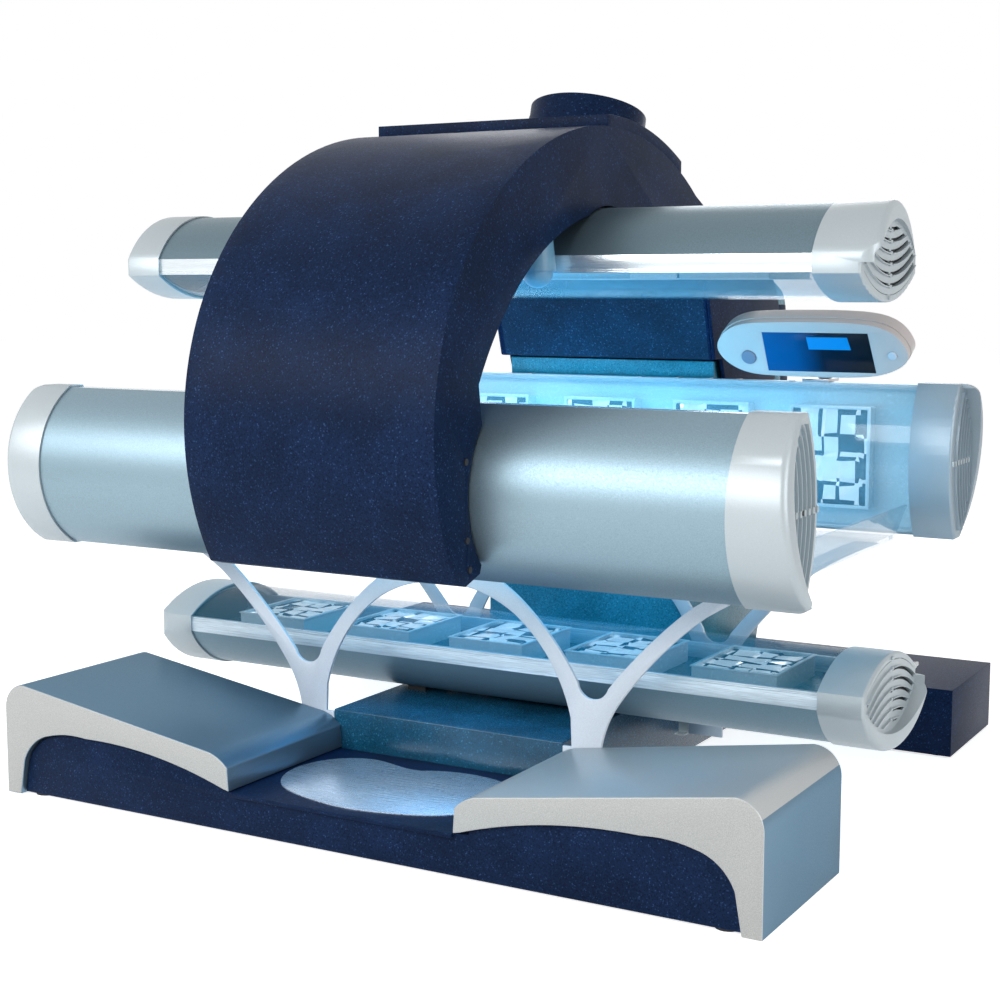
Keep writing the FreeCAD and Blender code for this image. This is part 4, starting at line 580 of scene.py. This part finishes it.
# %% [markdown]
# ## Where a tube's own directions lie
#
# All four tubes are the same tube, turned about its length.  What is inside one is easiest
# to make lying flat, with x along the tube, y across it and z out of its clear side, and is
# then turned into place by one matrix.

# %% The four tube places
TUBE_PLACES = {                      # y and z of the axis, turn about X in degrees
    "top_tube": (-0.2255, 1.453, 180),
    "front_tube": (-0.795, 0.908, -90),
    "back_tube": (0.476, 0.908, 90),
    "low_tube": (-0.117, 0.3755, 0),
}


def tube_matrix(tube):
    y, z, turn = TUBE_PLACES[tube]
    return Matrix.Translation((0.0, y, z)) @ Matrix.Rotation(radians(turn), 4, "X")


def place_in_tube(bm, tube, name, mat, like, sharp=SHARP):
    """Moves flat-lying pieces into a tube; they ride with the tube's part called like."""
    bmesh.ops.recalc_face_normals(bm, faces=bm.faces)
    bmesh.ops.transform(bm, matrix=tube_matrix(tube), verts=bm.verts)
    node = tube + "_" + like
    return make_piece(bm, tube + "_" + name, mat, BODY_OF[node], sharp=sharp)


print("tube places:", list(TUBE_PLACES))

# %% [markdown]
# ## Tube shells, rails, covers and trays
#
# A tube is a curved metal shell and a curved clear cover, held by two drawn rails.  Only
# the rails get their edges rounded: the shell and the cover are thin sheet whose edges are
# hidden in the rails, and the trays lie behind the cover.

# %% Tube parts
# Darker copies on some tubes are painted shade: the top and low shells, the back and low rails, the low
# cover.
TUBE_FINISHES = {                    # shell, rails, cover
    "top_tube": (TOP_TUBE_PAINTED_SHADE, RAIL_BRIGHT, ACRYLIC),
    "front_tube": (TUBE_SILVER, RAIL_BRIGHT, ACRYLIC),
    "back_tube": (TUBE_SILVER, RAIL_SATIN_PAINTED_SHADE, ACRYLIC),
    "low_tube": (LOW_TUBE_PAINTED_SHADE, RAIL_SATIN_PAINTED_SHADE, LOW_ACRYLIC_PAINTED_SHADE),
}
TUBES = tuple(TUBE_FINISHES)
THIN_ROUND = 0.0006
for tube in TUBES:
    shell, rail, cover = TUBE_FINISHES[tube]
    dress(tube + "_metal_shell", shell)
    dress(tube + "_rails", rail, THIN_ROUND, 2)
    dress(tube + "_acrylic_cover", cover)
    dress(tube + "_reflector_bank", TRAY_ALUMINIUM)
print("tubes dressed:", len(TUBES))

# %% [markdown]
# ## End caps
#
# The caps are cast, and the high corner of a cap's rim is well rounded.  The corner of the
# solid is cut back by a few planes that follow the round, each cut is filled again, and the
# edges that stay sharp get the small radius of a casting.

# %% End caps with a round corner
CAP_END_X = 1.116
CAP_REACH = 0.2185
RIM_HEIGHTS = {1.0: 0.042, -1.0: 0.012}       # end of the tube: how far its rim stands out
CORNER_ROUND = 0.045
CORNER_CUTS = 9
CAST_ROUND = 0.002


def cut_away(bm, point, normal):
    """Removes what lies beyond a plane; the cut stays open."""
    geom = bm.verts[:] + bm.edges[:] + bm.faces[:]
    bmesh.ops.bisect_plane(bm, geom=geom, plane_co=point, plane_no=normal, clear_outer=True)


def round_corner(bm, end):
    """Rounds the high corner of the cap at one end of a tube that lies flat."""
    x = CAP_END_X + RIM_HEIGHTS[end] - CORNER_ROUND
    middle = Vector((end * x, end * (CAP_REACH - CORNER_ROUND), 0.0))
    for index in range(CORNER_CUTS):
        turn = radians(90 * (index + 0.5) / CORNER_CUTS)
        outward = end * Vector((cos(turn), sin(turn), 0.0))
        cut_away(bm, middle + CORNER_ROUND * outward, outward)
        bmesh.ops.holes_fill(bm, edges=[edge for edge in bm.edges if edge.is_boundary], sides=0)


for tube in TUBES:
    node = tube + "_end_caps"
    bm = copy_of(node)
    bmesh.ops.transform(bm, matrix=tube_matrix(tube).inverted(), verts=bm.verts)
    for end in RIM_HEIGHTS:
        round_corner(bm, end)
    bmesh.ops.recalc_face_normals(bm, faces=bm.faces)
    bmesh.ops.transform(bm, matrix=tube_matrix(tube), verts=bm.verts)
    round_edges(bm, sharp_edges(bm), CAST_ROUND)
    # The back tube's caps take the darker copy of the cap silver, painted shade.
    finish = CAP_PAINTED_SHADE if tube == "back_tube" else CAP_SILVER
    piece = make_piece(bm, node + "_dressed", finish, BODY_OF[node], (node,))
    print(piece.name, len(piece.data.polygons), "faces")

# %% [markdown]
# ## Parts that keep their shape
#
# What works inside the machine is seen through a gap at most.  These parts stay as they
# were packed and only get a finish that suits their material.

# %% Inner parts
REPAINTED = {
    "arch_liner": NAVY_LINER,
    "canopy_ribs": FRAME_PAINT,
    "column_frame": FRAME_PAINT,
    "gas_spring_tubes": FRAME_PAINT,
    "gas_spring_rods": BARE_STEEL,
    "hinge_shaft": BARE_STEEL,
    "hinge_bearings": BARE_STEEL,
    "ballasts": BALLAST_IRON,
    "canopy_saddles": RUBBER,
    "base_saddles": RUBBER,
    "levelling_feet": RUBBER,
    "fan_guard": BLACK_PLASTIC,
    "fan_impeller": BLACK_PLASTIC,
    "mains_inlet": BLACK_PLASTIC,
    "arch_screws": BLACK_PLASTIC,
    "canopy_burners": QUARTZ,
    "base_burners": QUARTZ,
}
for node, mat in REPAINTED.items():
    repaint(node, mat)
print("repainted:", len(REPAINTED))

# %% [markdown]
# ## Shade between the lamp boxes
#
# The lamp boxes of the low tube stand on a plate that lies in their shade.  Its faces are
# the ones below a level of the tube, and they take a darker finish.

# %% Shaded plate of the low tube
PLATE_LEVEL = -0.018
to_low_tube = tube_matrix("low_tube").inverted()
bank = bpy.data.objects["low_tube_reflector_bank_dressed"]
count = second_finish(bank, TRAY_SHADE, lambda face: (to_low_tube @ face.center).z < PLATE_LEVEL)
print("shaded faces:", count)

# %% [markdown]
# ## Coated filter glass
#
# Each lamp box is closed by a pane of filter glass with a mirror coating, wavy enough to
# break what it reflects.  Its bright fields and the dark lines between them are painted
# reflection as well: a grid is drawn out to wide and narrow rows and every corner is pushed
# a little by a seeded chance; most of the narrow facets, and one wide facet in ten, take
# the dark finish, and the rest a bright finish with a faint painted glow.

# %% Filter panes
LAMP_COUNT = 5
LAMP_PITCH = 0.372
LAMP_SPOTS = [LAMP_PITCH * (index - LAMP_COUNT // 2) for index in range(LAMP_COUNT)]
BOX_LENGTH = 0.236
BOX_WIDTH = 0.288
BOX_TOP = 0.0355
PANE_LEVEL = 0.0295
PANE_PLAY = 0.008                # how much smaller the pane is than its box
PANE_THICKNESS = 0.0008
WAVE = 0.0028
NARROW = 0.017                   # facets with a side below this count as narrow
PAINTED_DARK_NARROW = 0.62
PAINTED_DARK_WIDE = 0.10
PANE_X = (-0.50, -0.44, -0.40, -0.16, -0.11, -0.07, 0.10, 0.14, 0.34, 0.39, 0.44, 0.50)
PANE_Y = (-0.50, -0.45, -0.30, -0.26, -0.22, -0.04, 0.00, 0.05, 0.20, 0.24, 0.44, 0.50)


def add_panel(bm, x, length, width, level, cells=(1, 1)):
    """A flat grid at one lamp; returns its corners."""
    verts = bmesh.ops.create_grid(bm, x_segments=cells[0], y_segments=cells[1], size=0.5)["verts"]
    bmesh.ops.scale(bm, vec=(length, width, 1.0), verts=verts)
    bmesh.ops.translate(bm, vec=(x, 0.0, level), verts=verts)
    return verts


def drawn_out(value, lines):
    """Moves an evenly spaced line, from -0.5 to 0.5, to its place among the uneven ones."""
    return lines[round((value + 0.5) * (len(lines) - 1))]


def filter_pane(bm, x, chance):
    made = len(bm.faces)
    length, width = BOX_LENGTH - PANE_PLAY, BOX_WIDTH - PANE_PLAY
    for vert in add_panel(bm, 0.0, 1.0, 1.0, PANE_LEVEL, (len(PANE_X) - 1, len(PANE_Y) - 1)):
        vert.co.x = x + drawn_out(vert.co.x, PANE_X) * length + chance.uniform(-WAVE, WAVE)
        vert.co.y = drawn_out(vert.co.y, PANE_Y) * width + chance.uniform(-WAVE, WAVE)
        vert.co.z += chance.uniform(-WAVE, WAVE)
    for face in bm.faces[made:]:
        narrow = min(edge.calc_length() for edge in face.edges) < NARROW
        # These facets take the dark finish: painted dark reflection.
        if chance.random() < (PAINTED_DARK_NARROW if narrow else PAINTED_DARK_WIDE):
            face.material_index = 1


chance = random.Random(7)
for tube in TUBES:
    bm = bmesh.new()
    for x in LAMP_SPOTS:
        filter_pane(bm, x, chance)
    bmesh.ops.solidify(bm, geom=bm.faces[:], thickness=PANE_THICKNESS)
    piece = place_in_tube(bm, tube, "filter_panes", FILTER_PAINTED_LIGHT, "reflector_bank", sharp=0.0)
    piece.data.materials.append(FILTER_PAINTED_DARK)
    print(piece.name, len(piece.data.polygons), "faces")

# %% [markdown]
# ## Box frames
#
# A pressed frame holds the pane on each lamp box.  One face is inset, the face inside the
# inset is taken out, and the ring that is left gets its thickness from solidify.

# %% Box frames
FRAME_MARGIN = 0.014
FRAME_LAP = 0.008                # how much larger the frame is than its box
FRAME_SHEET = 0.003
SMALL_ROUND = 0.0008


def box_frame(bm, x):
    verts = add_panel(bm, x, BOX_LENGTH + FRAME_LAP, BOX_WIDTH + FRAME_LAP, BOX_TOP + FRAME_SHEET)
    face = verts[0].link_faces[0]
    bmesh.ops.inset_region(bm, faces=[face], thickness=FRAME_MARGIN, use_boundary=True)
    bmesh.ops.delete(bm, geom=[face], context="FACES")


for tube in TUBES:
    bm = bmesh.new()
    for x in LAMP_SPOTS:
        box_frame(bm, x)
    bmesh.ops.solidify(bm, geom=bm.faces[:], thickness=FRAME_SHEET)
    round_edges(bm, sharp_edges(bm), SMALL_ROUND, 2)
    place_in_tube(bm, tube, "box_frames", FRAME_BRIGHT, "reflector_bank")
print("box frames:", len(TUBES) * len(LAMP_SPOTS))

# %% [markdown]
# ## Lamp holders
#
# A quartz burner ends in two ceramic blocks, with a steel ring where the quartz is pinched.
# The blocks are bevelled boxes with a slot for the spring, and the rings are short cones.

# %% Ceramic holders and pinch rings
BURNER_LEVEL = 0.0105
HOLDER_SPOT = 0.100              # distance from the middle of the lamp
HOLDER_SIZE = (0.020, 0.028, 0.030)
HOLDER_WALL = 0.006
HOLDER_SLOT = 0.005
HOLDER_ROUND = 0.0015
RING_SPOT = 0.066
RING_RADII = (0.011, 0.009)
RING_LENGTH = 0.016
RING_ROUND = 0.001
ORIGIN = (0.0, 0.0, 0.0)


def add_block(bm, size, place):
    verts = bmesh.ops.create_cube(bm, size=1.0)["verts"]
    bmesh.ops.scale(bm, vec=size, verts=verts)
    bmesh.ops.translate(bm, vec=place, verts=verts)
    return verts


def highest(faces):
    """The highest face, and the largest one if several are as high."""
    return max(faces, key=lambda face: (round(face.calc_center_median().z, 6), face.calc_area()))


def lay_along_x(bm, verts, side=1.0):
    """Turns what stands along z so that it points to +x, or with side -1 to -x."""
    bmesh.ops.rotate(bm, cent=ORIGIN, matrix=Matrix.Rotation(side * pi / 2, 3, "Y"), verts=verts)


def add_holder(bm, x):
    verts = add_block(bm, HOLDER_SIZE, (x, 0.0, BURNER_LEVEL))
    top = highest({face for vert in verts for face in vert.link_faces})
    bmesh.ops.inset_region(bm, faces=[top], thickness=HOLDER_WALL)
    bmesh.ops.translate(bm, vec=(0.0, 0.0, -HOLDER_SLOT), verts=top.verts[:])


def add_pinch_ring(bm, x, side):
    ring = bmesh.ops.create_cone(bm, cap_ends=True, segments=20, radius1=RING_RADII[0], radius2=RING_RADII[1],
                                 depth=RING_LENGTH)["verts"]
    lay_along_x(bm, ring, side)
    bmesh.ops.translate(bm, vec=(x, 0.0, BURNER_LEVEL), verts=ring)


for tube in TUBES:
    blocks = bmesh.new()
    rings = bmesh.new()
    for x in LAMP_SPOTS:
        for side in (-1.0, 1.0):
            add_holder(blocks, x + side * HOLDER_SPOT)
            add_pinch_ring(rings, x + side * RING_SPOT, side)
    round_edges(blocks, sharp_edges(blocks), HOLDER_ROUND, 2)
    round_edges(rings, sharp_edges(rings), RING_ROUND, 2)
    place_in_tube(blocks, tube, "lamp_holders", CERAMIC, "reflector_bank")
    place_in_tube(rings, tube, "pinch_rings", BARE_STEEL, "reflector_bank")
print("holders:", 2 * len(TUBES) * len(LAMP_SPOTS))

# %% [markdown]
# ## Behind the louvres, and the screw in each cap
#
# The end caps let the cooling air out, and a mesh behind the slots keeps dust away.  The
# front tube's mesh is pale and glows, painted light for the lamps that shine through it.
# The outline is where two large discs overlap: one disc is made, and what lies beyond the
# other's rim is taken off by straight cuts.

# %% Vent meshes and cap screws
MESH_X = 1.1065
MESH_THICKNESS = 0.002
CROWN_AXIS = -0.28417            # level of the disc that bounds the mesh on the clear side
CROWN_RADIUS = 0.362
BELLY_AXIS = 0.1893              # level of the disc that bounds it on the metal side
BELLY_RADIUS = 0.290
BELLY_REACH = 50                 # the cuts follow the belly's rim so many degrees to each side
BELLY_CUTS = 11
MESH_HALF_WIDTH = 0.198
SCREW_RADIUS = 0.0065
SCREW_HEIGHT = 0.004
SCREW_ROUND = 0.0015
SCREW_LIP = 0.002
SCREW_RECESS = 0.0022
SCREW_STAND = 0.001


def vent_mesh():
    """The mesh of one cap, standing upright at x = 0."""
    bm = bmesh.new()
    bmesh.ops.create_circle(bm, cap_ends=True, segments=160, radius=CROWN_RADIUS)
    lay_along_x(bm, bm.verts)
    bmesh.ops.translate(bm, vec=(0.0, 0.0, CROWN_AXIS), verts=bm.verts)
    for index in range(BELLY_CUTS):
        turn = radians(BELLY_REACH * (2 * index / (BELLY_CUTS - 1) - 1))
        outward = Vector((0.0, sin(turn), -cos(turn)))
        cut_away(bm, Vector((0.0, 0.0, BELLY_AXIS)) + BELLY_RADIUS * outward, outward)
    for side in (-1.0, 1.0):
        cut_away(bm, (0.0, side * MESH_HALF_WIDTH, 0.0), (0.0, side, 0.0))
    bmesh.ops.solidify(bm, geom=bm.faces[:], thickness=MESH_THICKNESS)
    return bm


def cap_screw():
    """A pan head with a round recess, looking along +x."""
    bm = bmesh.new()
    bmesh.ops.create_cone(bm, cap_ends=True, segments=24, radius1=SCREW_RADIUS, radius2=SCREW_RADIUS,
                          depth=SCREW_HEIGHT)
    round_edges(bm, highest(bm.faces).edges[:], SCREW_ROUND)
    top = highest(bm.faces)
    bmesh.ops.inset_region(bm, faces=[top], thickness=SCREW_LIP)
    bmesh.ops.translate(bm, vec=(0.0, 0.0, -SCREW_RECESS), verts=top.verts[:])
    lay_along_x(bm, bm.verts)
    return bm


def both_ends(make, x):
    """The shape at the right end of a tube and its mirror image at the left end."""
    bm = make()
    bmesh.ops.translate(bm, vec=(x, 0.0, 0.0), verts=bm.verts)
    twin = bmesh.ops.duplicate(bm, geom=bm.verts[:] + bm.edges[:] + bm.faces[:])["geom"]
    corners = [part for part in twin if isinstance(part, bmesh.types.BMVert)]
    bmesh.ops.scale(bm, vec=(-1.0, 1.0, 1.0), verts=corners)
    return bm


for tube in TUBES:
    # The front tube's mesh takes the pale glowing finish, painted light.
    finish = VENT_MESH_PAINTED_GLOW if tube == "front_tube" else VENT_MESH
    place_in_tube(both_ends(vent_mesh, MESH_X), tube, "vent_meshes", finish, "end_caps")
    screws = both_ends(cap_screw, CAP_END_X + SCREW_STAND)
    place_in_tube(screws, tube, "cap_screws", BLACK_PLASTIC, "end_caps")
print("vent meshes and screws:", 2 * len(TUBES))

# %% [markdown]
# ## Louvre clips
#
# Where the seven blades of a cap meet its middle bar, a small clip holds them.  The clips
# are one bevelled block, repeated down the bar at the pitch of the louvres.

# %% Louvre clips
LOUVRE_COUNT = 7
LOUVRE_PITCH = 0.027
FIRST_LOUVRE = 0.0835
CLIP_SIZE = (0.006, 0.016, 0.009)
CLIP_ROUND = 0.002
CLIP_SUNK = 0.001


def louvre_clips():
    bm = bmesh.new()
    for index in range(LOUVRE_COUNT):
        add_block(bm, CLIP_SIZE, (0.0, 0.0, FIRST_LOUVRE - index * LOUVRE_PITCH))
    round_edges(bm, bm.edges[:], CLIP_ROUND, 2)
    return bm


for tube in TUBES:
    clips = both_ends(louvre_clips, CAP_END_X + CLIP_SIZE[0] / 2 - CLIP_SUNK)
    place_in_tube(clips, tube, "louvre_clips", CAP_SILVER, "end_caps")
print("louvre clips:", 2 * LOUVRE_COUNT * len(TUBES))

# %% [markdown]
# ## Rail clips
#
# Steel clips hook over the acrylic's edge along the back tube's rails, so that the cover
# can be lifted off for cleaning.  Each is a bevelled strap, and both rails have a row.

# %% Rail clips
STRAP_SPOTS = (-0.62, -0.25, 0.135, 0.26, 0.36, 0.455, 0.62)
STRAP_SIZE = (0.012, 0.004, 0.026)
STRAP_ROUND = 0.001
STRAP_OUT = 0.2145               # distance of a strap from the tube's axis
STRAP_LEVEL = 0.014


def rail_straps():
    bm = bmesh.new()
    for x in STRAP_SPOTS:
        for side in (-1.0, 1.0):
            add_block(bm, STRAP_SIZE, (x, side * STRAP_OUT, STRAP_LEVEL))
    round_edges(bm, bm.edges[:], STRAP_ROUND, 2)
    return bm


place_in_tube(rail_straps(), "back_tube", "rail_straps", BARE_STEEL, "rails")
print("rail clips:", 2 * len(STRAP_SPOTS))

# %% [markdown]
# ## Display
#
# The display is a dark glass that fades from blue at the left to black at the right, and a
# bright blue liquid crystal field stands on it.  The fade follows the glass and not the
# camera: the ramp reads the x of the object.

# %% Display glass and its lit field
POD_CENTRE = Vector((0.693, 0.430, 1.232))
POD_TILT = radians(30)
POD_FRONT = 0.033
POD_MATRIX = Matrix((
    (1, 0, 0, POD_CENTRE.x),
    (0, -sin(POD_TILT), -cos(POD_TILT), POD_CENTRE.y),
    (0, cos(POD_TILT), -sin(POD_TILT), POD_CENTRE.z),
    (0, 0, 0, 1)))
GLASS_SPAN = (-0.14, 0.18)       # left and right end of the glass, from the pod's centre
FIELD_CORNERS = ((-0.004, 0.044), (0.117, 0.044), (0.123, 0.003), (-0.002, 0.003))
FIELD_LEVEL = POD_FRONT + 0.0008
FIELD_RIM = 0.0012
FIELD_THICKNESS = 0.001
FIELD_DOTS = 900.0


def faded_glass():
    mat = new_finish("display_glass", (0.02, 0.05, 0.10), 0.0, 0.10, Specular_IOR_Level=0.25)
    tree = mat.node_tree
    coords = tree.nodes.new("ShaderNodeTexCoord")
    split = tree.nodes.new("ShaderNodeSeparateXYZ")
    span = tree.nodes.new("ShaderNodeMapRange")
    span.inputs["From Min"].default_value = POD_CENTRE.x + GLASS_SPAN[0]
    span.inputs["From Max"].default_value = POD_CENTRE.x + GLASS_SPAN[1]
    tree.links.new(coords.outputs["Object"], split.inputs["Vector"])
    tree.links.new(split.outputs["X"], span.inputs["Value"])
    blue, deep_blue = (0.0, 0.10, 0.30), (0.0, 0.080, 0.25)
    dark, black = (0.002, 0.012, 0.035), (0.004, 0.008, 0.014)
    stops = [(0.0, blue), (0.30, deep_blue), (0.55, dark), (1.0, black)]
    ramp(mat, span.outputs["Result"], stops, "Base Color")
    return mat


def lit_field():
    mat = new_finish("liquid_crystal", (0.0, 0.16, 0.45), 0.0, 0.25, Emission_Strength=0.55)
    dots = pattern(mat, "Checker", FIELD_DOTS, Color1=(0.0, 0.22, 0.62, 1.0), Color2=(0.0, 0.16, 0.50, 1.0))
    mat.node_tree.links.new(dots.outputs["Color"], shader_of(mat).inputs["Emission Color"])
    return mat


dress("pod_display", faded_glass(), THIN_ROUND, 2)
bm = bmesh.new()
field = bm.faces.new([bm.verts.new((x, y, FIELD_LEVEL)) for x, y in FIELD_CORNERS])
bmesh.ops.inset_region(bm, faces=[field], thickness=FIELD_RIM, use_boundary=True)
bmesh.ops.solidify(bm, geom=bm.faces[:], thickness=FIELD_THICKNESS)
bmesh.ops.recalc_face_normals(bm, faces=bm.faces)
bmesh.ops.transform(bm, matrix=POD_MATRIX, verts=bm.verts)
make_piece(bm, "display_field", lit_field(), BODY_OF["pod_display"])
print("display field of", len(FIELD_CORNERS), "corners")
